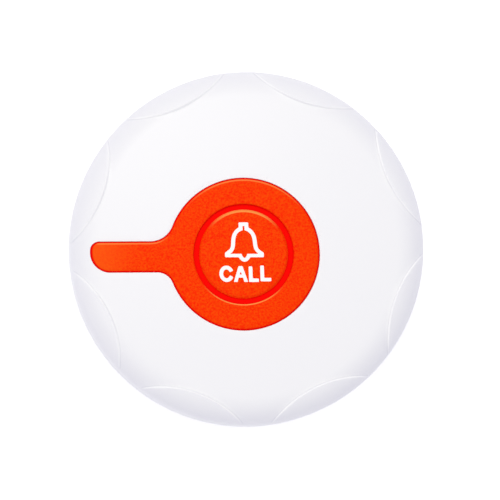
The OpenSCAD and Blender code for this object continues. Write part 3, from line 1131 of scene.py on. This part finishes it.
FINISHES: dict[Slot, Finish] = {
    Slot.SHELL: CoverPlastic(
        "Satin white ABS", (0.915, 0.91, 0.915), 0.42, grain_mm=0.25, grain_height=0.006, rub=0.2
    ),
    Slot.BASE: Finish(
        "White base ABS", (0.80, 0.79, 0.80), 0.5, grain_mm=0.4, grain_height=0.015, rub=0.3
    ),
    Slot.KEY: KeySilicone(
        "Orange silicone",
        (0.98, 0.040, 0.0006),
        0.45,
        specular=0.02,
        grain_mm=0.32,
        grain_height=0.012,
        speckle=0.75,
    ),
    Slot.CLEAR: ClearFinish("Clear acrylic", (0.98, 0.99, 1.0), 0.05),
    Slot.BOARD: Finish("Board laminate", (0.01, 0.12, 0.035), 0.4, grain_mm=1.2, speckle=0.2),
    Slot.BLACK: Finish(
        "Black plastic", (0.012, 0.012, 0.013), 0.45, grain_mm=0.2, grain_height=0.004
    ),
    Slot.BRIGHT: Finish("Bright steel", (0.62, 0.62, 0.61), 0.22, 1.0, rub=0.5),
    Slot.TINNED: Finish("Tinned metal", (0.72, 0.72, 0.70), 0.32, 1.0),
    Slot.COPPER: Finish("Enamelled copper wire", (0.72, 0.28, 0.10), 0.28, 1.0),
    Slot.LAMP: Finish("Milky lamp", (0.82, 0.84, 0.80), 0.25),
    Slot.COMPONENT: Finish("Component body", (0.16, 0.14, 0.11), 0.5, grain_mm=0.5, speckle=0.3),
    Slot.CONTACT: Finish("Nickel contact", (0.66, 0.62, 0.52), 0.25, 1.0, rub=0.4),
    Slot.RUBBER: Finish("Seal rubber", (0.03, 0.03, 0.032), 0.7),
    Slot.SCREW: Finish("Zinc-plated screw", (0.60, 0.61, 0.63), 0.3, 1.0, rub=0.6),
    Slot.FOAM: Finish(
        "Foam tape", (0.76, 0.76, 0.74), 0.85, grain_mm=0.35, grain_height=0.06, speckle=0.25
    ),
}
INK = Finish("White ink", (0.985, 0.985, 0.975), 0.5, specular=0.3)

SLOT_NODES: dict[Slot, tuple[str, ...]] = {
    Slot.SHELL: ("top_cover",),
    Slot.BASE: ("base_shell", "battery_door"),
    Slot.KEY: ("key_pad", "call_button"),
    Slot.CLEAR: ("light_guide",),
    Slot.BOARD: ("circuit_board",),
    Slot.BLACK: ("switch_body", "switch_stem", "encoder_chip"),
    Slot.BRIGHT: ("switch_frame", "coin_cell"),
    Slot.TINNED: ("switch_terminals", "chip_leads", "resonator_can"),
    Slot.COPPER: ("aerial_coil",),
    Slot.LAMP: ("indicator_lamp",),
    Slot.COMPONENT: ("small_components",),
    Slot.CONTACT: ("positive_contact", "negative_contact"),
    Slot.RUBBER: ("housing_seal", "door_seal", "cell_gasket"),
    Slot.SCREW: ("housing_screws", "board_screws"),
    Slot.FOAM: ("mounting_tape",),
}


class Paints:
    """The materials, each made once."""

    def __init__(self) -> None:
        """Builds a material for each slot, and the ink."""
        self.by_slot = {slot: finish.build() for slot, finish in FINISHES.items()}
        self.ink = INK.build()

    def dress(self, obj: Object, slot: Slot) -> None:
        """Gives a piece the material of its slot.

        Args:
            obj: the piece.
            slot: its slot.
        """
        obj.data.materials.clear()
        obj.data.materials.append(self.by_slot[slot])


# ------------------------------------------------------------------------------- sub-assemblies


@dataclass(frozen=True)
class Fit:
    """Sizes that the cover, the key and the button share, as the solids have them.

    Attributes:
        key_depth: depth of the recess that holds the key.
        key_proud: how far the key stands above the dome.
        key_wall: wall under the recess.
        button_r: radius of the button's face.
        hole_r: radius of the key's hole.
        flange_r: radius of the button's flange.
        flange_z: height of the flange's underside.
        flange_t: thickness of the flange.
        lip_z: height of the step that holds the flange down.
        plunger_r: radius of the plunger.
        plunger_z: height of the plunger's end.
        guide_r: radius of the light guide.
        lamp_x: distance of the light guide from the head's centre.
        peg_r: radius of the key's pegs.
        peg_ring: radius of the circle that the pegs stand on.
        peg_turns: turns of the pegs, in degrees.
        around: points round the button and its hole.
    """

    key_depth: float = 1.8
    key_proud: float = 0.2
    key_wall: float = 1.4
    button_r: float = 7.55
    hole_r: float = 8.45
    flange_r: float = 9.25
    flange_z: float = 15.2
    flange_t: float = 0.5
    lip_z: float = 15.8
    plunger_r: float = 2.0
    plunger_z: float = 12.8
    guide_r: float = 1.5
    lamp_x: float = 16.4
    peg_r: float = 0.8
    peg_ring: float = 11.275
    peg_turns: tuple[float, ...] = (35.0, 145.0, 215.0, 325.0)
    around: int = 144

    def head_ring(self, radius: float) -> np.ndarray:
        """Points round a circle about the head's centre."""
        return ring(radius, self.around, KEY.centre)

    def pegs(self) -> list[tuple[float, float]]:
        """Places of the key's pegs.

        Returns:
            One x and y for each peg.
        """
        x, y = KEY.centre
        turns = map(math.radians, self.peg_turns)
        return [(x + self.peg_ring * math.cos(a), y + self.peg_ring * math.sin(a)) for a in turns]


DOME = Dome()
KEY = Keyhole()
FIT = Fit()


@dataclass
class Cover:
    """White cover: dome with leaf reliefs, recess for the key, and an open skirt.

    Attributes:
        paints: the materials.
        leaves: the reliefs on the shoulder.
        wall: wall of the cover.
        rib: wall round the recess.
        skirt_z: height of the skirt's lower edge.
        edge_cut: chamfer of the skirt's lower edge.
        lip_round: radius of the recess's upper edge.
        plunger_fit: gap round the plunger.
        peg_fit: gap round the pegs and the light guide.
        around: points round the housing.
        outer_step: distance between the outer face's rings, on the dome and on the shoulder.
        inner_step: the same for the inner face.
        edge_gap: distance of those rings' points from the leaves' edges.
    """

    paints: Paints
    leaves: Leaves = field(default_factory=Leaves)
    wall: float = 1.8
    rib: float = 0.85
    skirt_z: float = 4.2
    edge_cut: float = 0.25
    lip_round: float = 0.05
    plunger_fit: float = 0.08
    peg_fit: float = 0.05
    around: int = 360
    outer_step: tuple[float, float] = (0.9, 0.42)
    inner_step: tuple[float, float] = (2.4, 0.8)
    edge_gap: float = 0.28

    def bores(self) -> list[np.ndarray]:
        """Outlines of the bores through the recess's floor.

        Returns:
            The plunger's bore, the light guide's and the pegs'.
        """
        x, y = KEY.centre
        plunger = ring(FIT.plunger_r + self.plunger_fit, 48, KEY.centre)
        guide = ring(FIT.guide_r + self.peg_fit, 36, (x - FIT.lamp_x, y))
        return [plunger, guide, *(ring(FIT.peg_r + self.peg_fit, 24, at) for at in FIT.pegs())]

    def outer_face(self, skin: Skin) -> None:
        """Adds the dome with its leaves, out to the side.

        Args:
            skin: the cover's points and faces.
        """
        hole = DOME.unrolled(KEY.outline(self.lip_round))
        steps = (-1.0, -0.6, -0.2, 0.2, 0.6, 1.0)
        edges = [c for s in steps for c in self.leaves.edge(DOME, s * self.leaves.half_step)]
        seeds = clear_of(DOME.seeds(*self.outer_step, margin=0.2), hole, gap=0.3)
        seeds = seeds[gap_to(seeds, np.concatenate(edges)) > self.edge_gap]
        side = ring(DOME.edge_s, self.around)
        skin.region(side, self.leaves.on(DOME), [hole], edges, seeds)

    def side_and_inside(self, skin: Skin) -> None:
        """Adds the side, the skirt's edge, the inner face and the recess's walls below it.

        Args:
            skin: the cover's points and faces.
        """
        inner = DOME.inset(self.wall)
        heights = np.linspace(DOME.shoulder_z, self.skirt_z + self.edge_cut, 6)
        profile = [(DOME.body_r, z) for z in heights]
        profile += [(DOME.body_r - self.edge_cut, self.skirt_z), (inner.body_r, self.skirt_z)]
        profile += [(inner.body_r, inner.shoulder_z)]
        skin.revolve(profile, self.around)
        room = KEY.outline(self.rib)
        hole = inner.unrolled(room)
        seeds = clear_of(inner.seeds(*self.inner_step, margin=0.3), hole, gap=0.5)
        skin.region(ring(inner.edge_s, self.around), inner.rolled, [hole], (), seeds)
        under = DOME.over(-FIT.key_depth - FIT.key_wall)
        skin.bands([inner.rolled(hole), under(room)])
        skin.region(room, under, self.bores())

    def recess(self, skin: Skin) -> None:
        """Adds the recess with its rounded upper edge, its floor and the bores.

        Args:
            skin: the cover's points and faces.
        """
        floor = DOME.over(-FIT.key_depth)
        under = DOME.over(-FIT.key_depth - FIT.key_wall)
        edge = DOME.rounded(KEY.outline, self.lip_round, 4)
        skin.bands([*edge, floor(KEY.outline())])
        skin.region(KEY.outline(), floor, self.bores())
        for bore in self.bores():
            skin.bands([floor(bore), under(bore)])

    def build(self) -> Object:
        """Builds the cover and sets it in place of its solid.

        Returns:
            The cover.
        """
        skin = Skin()
        self.outer_face(skin)
        self.side_and_inside(skin)
        self.recess(skin)
        cover = skin.make("cover_skin")
        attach(cover, "root")
        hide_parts("top_cover")
        self.paints.dress(cover, Slot.SHELL)
        return cover


@dataclass
class KeyPad:
    """Orange key surround with its hole for the button and its pegs.

    Attributes:
        paints: the materials.
        edge_round: radius of the outer upper edge.
        lip_round: radius of the hole's upper edge.
        seat_gap: gap under the key.
        side_gap: gap that the eye sees round the key, whose soft side bulges towards the wall.
        flange_fit: gap round the button's flange.
        peg_out: length of a peg under the key.
        peg_cut: chamfer of a peg's end.
        face_rings: radii of the rings of points in the face.
        under_ring: radius of the ring of points in the underside.
    """

    paints: Paints
    edge_round: float = 0.6
    lip_round: float = 0.3
    seat_gap: float = 0.05
    side_gap: float = 0.015
    flange_fit: float = 0.15
    peg_out: float = 2.0
    peg_cut: float = 0.1
    face_rings: tuple[float, ...] = (9.6, 10.6, 11.6)
    under_ring: float = 11.3

    def outline(self, back: float = 0.0) -> np.ndarray:
        """The key's outline, moved in from its side by a distance."""
        return KEY.outline(-self.side_gap - back)

    def mouth(self, out: float) -> np.ndarray:
        """The hole's outline, moved out from its wall by a distance."""
        return FIT.head_ring(FIT.hole_r + out)

    def build_body(self, skin: Skin) -> None:
        """Adds the outer side, the face, the stepped hole and the underside.

        Args:
            skin: the key's points and faces.
        """
        bottom = DOME.over(self.seat_gap - FIT.key_depth)
        edge = self.outline()
        side = DOME.rounded(self.outline, self.edge_round, 5, FIT.key_proud)
        skin.bands([*side, bottom(edge)])
        seeds = np.concatenate([ring(r, 90, KEY.centre) for r in self.face_rings])
        face = DOME.over(FIT.key_proud)
        skin.region(self.outline(self.edge_round), face, [self.mouth(self.lip_round)], (), seeds)
        bore = FIT.head_ring(FIT.flange_r + self.flange_fit)
        lip = DOME.rounded(self.mouth, self.lip_round, 5, FIT.key_proud)
        step = [level(row, FIT.lip_z) for row in (self.mouth(0.0), bore)]
        skin.bands([*lip, *step, bottom(bore)])
        skin.region(edge, bottom, [bore], (), ring(self.under_ring, 90, KEY.centre))

    def build_pegs(self, skin: Skin) -> None:
        """Adds the pegs that hold the key in the cover.

        Args:
            skin: the key's points and faces.
        """
        low = DOME.body_h - FIT.key_depth - self.peg_out
        high = DOME.body_h - FIT.key_depth / 2
        end = [(0, low), (FIT.peg_r - self.peg_cut, low), (FIT.peg_r, low + self.peg_cut)]
        for at in FIT.pegs():
            skin.revolve([*end, (FIT.peg_r, high), (0, high)], 24, at)

    def build(self) -> Object:
        """Builds the key surround and sets it in place of its solid.

        Returns:
            The key surround.
        """
        skin = Skin()
        self.build_body(skin)
        self.build_pegs(skin)
        pad = skin.make("key_surround")
        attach(pad, "root")
        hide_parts("key_pad")
        self.paints.dress(pad, Slot.KEY)
        return pad


def stroke(path: np.ndarray, width: float, cap: float) -> np.ndarray:
    """Outline of a stroke of even width with softly squared ends.

    Args:
        path: points along its middle.
        width: width of the stroke.
        cap: how far an end reaches beyond the path.

    Returns:
        The outline as rows of x and y.
    """
    along = np.gradient(path, axis=0)
    along /= np.hypot(along[:, 0], along[:, 1])[:, None]
    left = np.stack([-along[:, 1], along[:, 0]], 1) * width / 2
    turn = np.linspace(math.pi / 2, -math.pi / 2, 11)[1:-1]
    out = np.sqrt(np.cos(turn))[:, None] * cap
    side = (np.sign(np.sin(turn)) * np.sqrt(np.abs(np.sin(turn))))[:, None]
    end = path[-1] + out * along[-1] + side * left[-1]
    start = path[0] - out * along[0] - side * left[0]
    return np.concatenate([path + left, end, (path - left)[::-1], start])


FREE = 9.0  # a cut this long lets the curve run from middle to middle of the sides
SAME = 1e-4  # points of a print nearer than this are one


def softened(corners: Sequence[Point], steps: int = 7) -> np.ndarray:
    """Closed outline with each corner cut to a curve.

    Args:
        corners: rows of x, y and how far from the corner its curve starts.
        steps: points on a curve.

    Returns:
        The outline as rows of x and y.
    """
    rows = np.asarray(corners, float)
    points: list[np.ndarray] = []
    for i, (x, y, cut) in enumerate(rows):
        at = np.array((x, y))
        ends = []
        for other in (rows[i - 1, :2], rows[(i + 1) % len(rows), :2]):
            away = other - at
            size = float(np.hypot(*away))
            ends.append(at + away / size * min(cut, size / 2))
        for t in np.linspace(0, 1, steps):
            point = (1 - t) ** 2 * ends[0] + 2 * t * (1 - t) * at + t**2 * ends[1]
            if not points or np.hypot(*(point - points[-1])) > SAME:
                points.append(point)
    if np.hypot(*(points[0] - points[-1])) < SAME:
        points.pop()
    return np.array(points)


def mirrored(half: Sequence[Point]) -> list[Point]:
    """Corners of an outline that is the same left and right, from those of its right half."""
    return [*half, *[(-x, y, cut) for x, y, cut in reversed(half)]]


@dataclass(frozen=True)
class Shape:
    """One printed shape.

    Attributes:
        outer: its outline.
        holes: outlines left bare inside it.
    """

    outer: np.ndarray
    holes: tuple[np.ndarray, ...] = ()

    def holds(self, points: np.ndarray) -> np.ndarray:
        """Tells which points the ink covers.

        Args:
            points: rows of x and y.

        Returns:
            One truth value for each point.
        """
        kept = inside(points, self.outer)
        for hole in self.holes:
            kept &= ~inside(points, hole)
        return kept

    def moved(self, place: Place) -> "Shape":
        """The shape with all its points moved."""
        return Shape(place(self.outer), tuple(place(h) for h in self.holes))


@dataclass
class PrintedMarks:
    """A plain table-bell pictogram and the word for what the button does, as a layer of ink.

    Places are measured from the button's centre.

    Attributes:
        paints: the materials.
        ink_t: thickness of the ink.
        sunk: share of the ink's thickness that lies in the button.
        slant: how far the print leans to the left for its height.
        size: size of the print against the sizes below.
        lift: how far the print sits above the button's middle.
        bell_x: place of the bell's middle.
        stem_w: width of the letters' stems.
        bar_w: width of the letters' level strokes.
        round_letter: half the width and height of the round letter, along its stroke's middle.
        round_span: where its stroke starts and ends, in degrees.
        round_cap: how far that stroke reaches beyond them.
        corner: how far from a stem's corner its curve starts.
    """

    paints: Paints
    ink_t: float = 0.03
    sunk: float = 0.2
    slant: float = 0.03
    size: float = 0.98
    lift: float = 0.1
    bell_x: float = 0.1
    stem_w: float = 0.65
    bar_w: float = 0.6
    round_letter: tuple[float, float] = (0.91, 1.08)
    round_span: tuple[float, float] = (27.0, 333.0)
    round_cap: float = 0.1
    corner: float = 0.2

    def bell(self) -> Shape:
        """The bell as one line: knob, body, flared foot, and a rim that dips round the clapper.

        Returns:
            The bell's shape.
        """
        outer = [
            *[(0.84, 5.33, 0.2), (0.84, 4.47, 0.1), (1.38, 4.10, FREE), (1.82, 3.55, FREE)],
            *[(2.08, 2.92, FREE), (2.20, 2.20, FREE), (2.25, 1.35, FREE), (2.42, 0.78, FREE)],
            *[(2.95, 0.38, FREE), (3.36, 0.08, 0.2), (3.34, -0.67, 0.2), (1.02, -0.67, 0.16)],
            *[(0.66, -1.18, FREE), (0.20, -1.45, FREE)],
        ]
        inner = [
            *[(0.16, 4.70, 0.05), (0.16, 3.97, 0.1), (0.52, 3.86, FREE), (0.97, 3.57, FREE)],
            *[(1.30, 3.10, FREE), (1.49, 2.45, FREE), (1.55, 1.50, FREE), (1.67, 0.85, FREE)],
            *[(1.92, 0.38, FREE), (2.40, -0.08, 0.06), (0.48, -0.08, 0.12), (0.37, -0.46, FREE)],
            (0.10, -0.80, FREE),
        ]
        return self.both_sides(outer, inner, self.bell_x)

    def both_sides(self, outer: list[Point], inner: list[Point], x: float) -> Shape:
        """A shape with one hole about x, from the right halves of its outlines."""
        shape = Shape(softened(mirrored(outer)), (softened(mirrored(inner)),))
        return shape.moved(lambda flat: flat + (x, 0.0))

    def letter_c(self, x: float, y: float) -> Shape:
        """A round letter, open to the right, about its middle.

        Args:
            x: place of its middle.
            y: height of its middle.

        Returns:
            The letter's shape.
        """
        turn = np.radians(np.linspace(*self.round_span, 40))
        wide, high = self.round_letter
        path = np.stack([x + wide * np.cos(turn), y + high * np.sin(turn)], 1)
        return Shape(stroke(path, self.stem_w, self.round_cap))

    def letter_a(self, x: float, top: float, low: float) -> Shape:
        """A letter of two legs from one flat top, with a small eye over its bar."""
        outer = [(0.34, top, 0.16), (1.23, low, 0.12), (0.58, low, 0.12), (0.38, top - 1.98, 0.06)]
        return self.both_sides(outer, [(0.05, top - 1.02, 0.03), (0.19, top - 1.44, 0.06)], x)

    def letter_l(self, x: float, top: float, low: float, foot: float) -> Shape:
        """A stem about x with a foot that reaches out to the right.

        Args:
            x: place of the stem's middle.
            top: height of the stem's top.
            low: height of the foot's lower side.
            foot: place of the foot's end.

        Returns:
            The letter's shape.
        """
        left, right = x - self.stem_w / 2, x + self.stem_w / 2
        bar = low + self.bar_w
        corners = [(left, low), (left, top), (right, top), (right, bar), (foot, bar), (foot, low)]
        return Shape(softened([(*c, self.corner) for c in corners]))

    def shapes(self) -> list[Shape]:
        """All printed shapes, in the model's frame.

        Returns:
            The shapes.
        """
        marks = [
            self.bell(),
            self.letter_c(-3.08, -3.52),
            self.letter_a(-0.64, -2.2, -4.92),
            self.letter_l(1.07, -2.25, -4.93, 2.46),
            self.letter_l(3.06, -2.1, -4.82, 4.6),
        ]
        lean = np.array([[1.0, 0.0], [-self.slant, 1.0]]) * self.size
        at = np.array(KEY.centre) + (0.0, self.lift)
        return [m.moved(lambda flat: flat @ lean + at) for m in marks]

    def build(self) -> Object:
        """Builds the ink on the button's face.

        Returns:
            The ink.
        """
        shapes = self.shapes()
        loops = [loop for s in shapes for loop in (s.outer, *s.holes)]
        flat, tri = triangulated(loops, margin=1e-5)
        middle = flat[tri].mean(1)
        tri = tri[np.any([shape.holds(middle) for shape in shapes], axis=0)]
        corners = [pair for a, b, c in tri for pair in ((a, b), (b, c), (c, a))]
        sides = Counter((min(pair), max(pair)) for pair in corners)
        count = len(flat)
        walls = [(a, b, b + count, a + count) for (a, b), uses in sides.items() if uses == 1]
        top = DOME.over(FIT.key_proud + self.ink_t * (1 - self.sunk))(flat)
        low = DOME.over(FIT.key_proud - self.ink_t * self.sunk)(flat)
        skin = Skin()
        skin.add(np.concatenate([top, low]), [*tri, *(tri + count), *walls])
        ink = skin.make("printed_marks", sharp_deg=60)
        ink.data.materials.append(self.paints.ink)
        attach(ink, "button")
        return ink


@dataclass
class CallButton:
    """Orange button: a disc in the key's hole, its flange and its plunger.

    Attributes:
        paints: the materials.
        edge_round: radius of the disc's upper edge.
        end_cut: chamfer of the plunger's end.
    """

    paints: Paints
    edge_round: float = 0.6
    end_cut: float = 0.2

    def side(self, back: float = 0.0) -> np.ndarray:
        """The disc's outline, moved in from its side by a distance."""
        return FIT.head_ring(FIT.button_r - back)

    def build(self) -> Object:
        """Builds the button and sets it in place of its solid.

        Returns:
            The button.
        """
        skin = Skin()
        face = [DOME.over(FIT.key_proud)(FIT.head_ring(radius)) for radius in (2.5, 5.0)]
        edge = DOME.rounded(self.side, self.edge_round, 6, FIT.key_proud)
        flange_top = FIT.flange_z + FIT.flange_t
        skin.cap(face[0])
        skin.bands([*face, *edge, level(self.side(), flange_top)])
        profile = [
            (FIT.button_r, flange_top),
            (FIT.flange_r, flange_top),
            (FIT.flange_r, FIT.flange_z),
            (FIT.plunger_r, FIT.flange_z),
            (FIT.plunger_r, FIT.plunger_z + self.end_cut),
            (FIT.plunger_r - self.end_cut, FIT.plunger_z),
            (0.0, FIT.plunger_z),
        ]
        skin.revolve(profile, FIT.around, KEY.centre)
        button = skin.make("button_disc")
        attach(button, "button")
        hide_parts("call_button")
        self.paints.dress(button, Slot.KEY)
        return button


@dataclass
class Fittings:
    """The solids: base, door, electronics and fixings keep their own meshes.

    Attributes:
        paints: the materials.
    """

    paints: Paints

    def build(self) -> list[Object]:
        """Gives each solid its finish.

        Returns:
            The solids.
        """
        slots = {name: slot for slot, names in SLOT_NODES.items() for name in names}
        for name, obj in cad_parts.items():
            self.paints.dress(obj, slots[name])
        return list(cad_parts.values())


# ------------------------------------------------------------------------------- studio


@dataclass
class PhotoCamera:
    """Camera at the photograph's viewing angle.

    Attributes:
        lean_deg: angle between the line of sight and the upright.
        azimuth_deg: side on which the camera stands, counter-clockwise from +X.
        distance: distance from the camera to the housing.
        scale: pixels for a millimetre at the aim.
        aim_z: height of the aim on the axis.
        aim_px: where the aim appears, in pixels right of and above the image's middle.
        image_px: width of the square image.
    """

    lean_deg: float = 5.3
    azimuth_deg: float = 220.0
    distance: float = 1200.0
    scale: float = 5.89
    aim_z: float = 7.0
    aim_px: tuple[float, float] = (-4.3, 0.4)
    image_px: float = 500.0

    def build(self) -> Object:
        """Makes the camera and makes it the scene's.

        Returns:
            The camera.
        """
        lean, side = math.radians(self.lean_deg), math.radians(self.azimuth_deg)
        level_part = math.sin(lean)
        back = Vector((level_part * math.cos(side), level_part * math.sin(side), math.cos(lean)))
        right = Vector((1.0, 0.0, 0.0))
        right = (right - back * right.dot(back)).normalized()
        up = back.cross(right)
        aim = Vector((0.0, 0.0, self.aim_z))
        aim += (-right * self.aim_px[0] - up * self.aim_px[1]) / self.scale
        data = bpy.data.cameras.new("photo_camera")
        data.sensor_fit = "HORIZONTAL"
        data.sensor_width = 36.0
        data.lens = self.scale * data.sensor_width / self.image_px * self.distance
        data.clip_start, data.clip_end = 0.01, 20.0
        camera = placed("photo_camera", data)
        turn = Matrix((right, up, back)).transposed().to_4x4()
        camera.matrix_world = Matrix.Translation((aim + back * self.distance) * MM) @ turn
        bpy.context.scene.camera = camera
        return camera


@dataclass
class Studio:
    """Plain pale floor, soft lamps and an even white surround.

    Attributes:
        overhead: the surround's light from straight above.
        horizon: the surround's dimmer, cooler light from the sides.
        turnover: sine of the height at which the light from above is full.
        lamp_colour: colour of the lamps, a little warm.
        key_power: power of the main lamp, in watts.
        fill_power: power of the second lamp.
        floor_half: half the floor's width, in metres.
        floor_drop: how far the floor lies under the tape, in millimetres.
        floor_colour: colour of the floor, linear.
        floor_lift: how much the floor is lifted towards white where it is seen or mirrored.
    """

    overhead: Colour = (0.79, 0.79, 0.815)
    horizon: Colour = (0.35, 0.335, 0.60)
    turnover: float = 0.75
    lamp_colour: Colour = (1.0, 0.995, 0.86)
    key_power: float = 3.08
    fill_power: float = 0.62
    floor_half: float = 1.5
    floor_drop: float = 0.02
    floor_colour: Colour = (0.9, 0.9, 0.9)
    floor_lift: float = 0.44

    def seen(self, net: Net) -> Socket:
        """1 for rays of the camera, of gloss and through glass, else 0.

        Args:
            net: nodes to build in.

        Returns:
            The value.
        """
        path = net.node("LightPath").outputs
        both = net.plus(path["Is Camera Ray"], path["Is Glossy Ray"])
        return net.math("ADD", both, path["Is Transmission Ray"], clamp=True)

    def floor(self) -> Object:
        """Makes the floor.

        Returns:
            The floor.
        """
        mesh = bpy.data.meshes.new("studio_floor")
        half, low = self.floor_half, -self.floor_drop * MM
        corners = [(-half, -half, low), (half, -half, low), (half, half, low), (-half, half, low)]
        mesh.from_pydata(corners, [], [(0, 1, 2, 3)])
        floor = placed("studio_floor", mesh)
        material = bpy.data.materials.new("Studio floor")
        net = bare_net(material)
        matt = net.node("BsdfDiffuse", Color=(*self.floor_colour, 1.0))
        lift = net.node("Emission", Color=(1.0, 1.0, 1.0, 1.0))
        net.put(lift.inputs["Strength"], net.times(self.seen(net), self.floor_lift))
        both = net.node("AddShader")
        net.put(both.inputs[0], matt.outputs[0])
        net.put(both.inputs[1], lift.outputs[0])
        net.node("OutputMaterial", Surface=both.outputs[0])
        floor.data.materials.append(material)
        return floor

    def surround_light(self) -> None:
        """Makes the surround: white where it is seen, and a light that fades to the horizon."""
        world = bpy.data.worlds.new("studio_surround")
        net = bare_net(world)
        way = net.parts(net.node("TexCoord").outputs["Generated"])
        height = net.ramp(net.math("ABSOLUTE", way["Z"]), 0.0, self.turnover)
        light = net.mix(height, self.horizon, self.overhead)
        colour = net.mix(self.seen(net), light, (1.0, 1.0, 1.0))
        net.node("OutputWorld", Surface=net.node("Background", Color=colour).outputs[0])
        bpy.context.scene.world = world

    def lamp(self, name: str, place: Point, width: float, power: float) -> Object:
        """Makes a soft square lamp that faces the object.

        Args:
            name: name of the lamp.
            place: where it hangs, in metres.
            width: its width, in metres.
            power: its power, in watts.

        Returns:
            The lamp.
        """
        data = bpy.data.lights.new(name, "AREA")
        data.shape, data.energy = "RECTANGLE", power
        data.size = data.size_y = width
        data.color = self.lamp_colour
        lamp = placed(name, data)
        lamp.location = place
        lamp.rotation_euler = (-Vector(place)).to_track_quat("-Z", "Y").to_euler()
        return lamp

    def build(self) -> None:
        """Makes the floor, the surround and the lamps."""
        self.floor()
        self.surround_light()
        self.lamp("window_side", (-0.14, 0.38, 1.0), 0.45, self.key_power)
        self.lamp("room_side", (-0.7, -0.3, 0.8), 0.7, self.fill_power)
        bpy.context.scene.view_settings.view_transform = "Standard"


def main() -> None:
    """Builds the camera, the sub-assemblies and the studio in order."""
    logging.basicConfig(level=logging.INFO, format="%(name)s: %(message)s")
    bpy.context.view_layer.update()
    PhotoCamera().build()
    paints = Paints()
    log.info("dressed %d solids", len(Fittings(paints).build()))
    for part in (Cover(paints), KeyPad(paints), CallButton(paints), PrintedMarks(paints)):
        log.info("built %s", part.build().name)
    Studio().build()


if __name__ == "__main__":
    main()
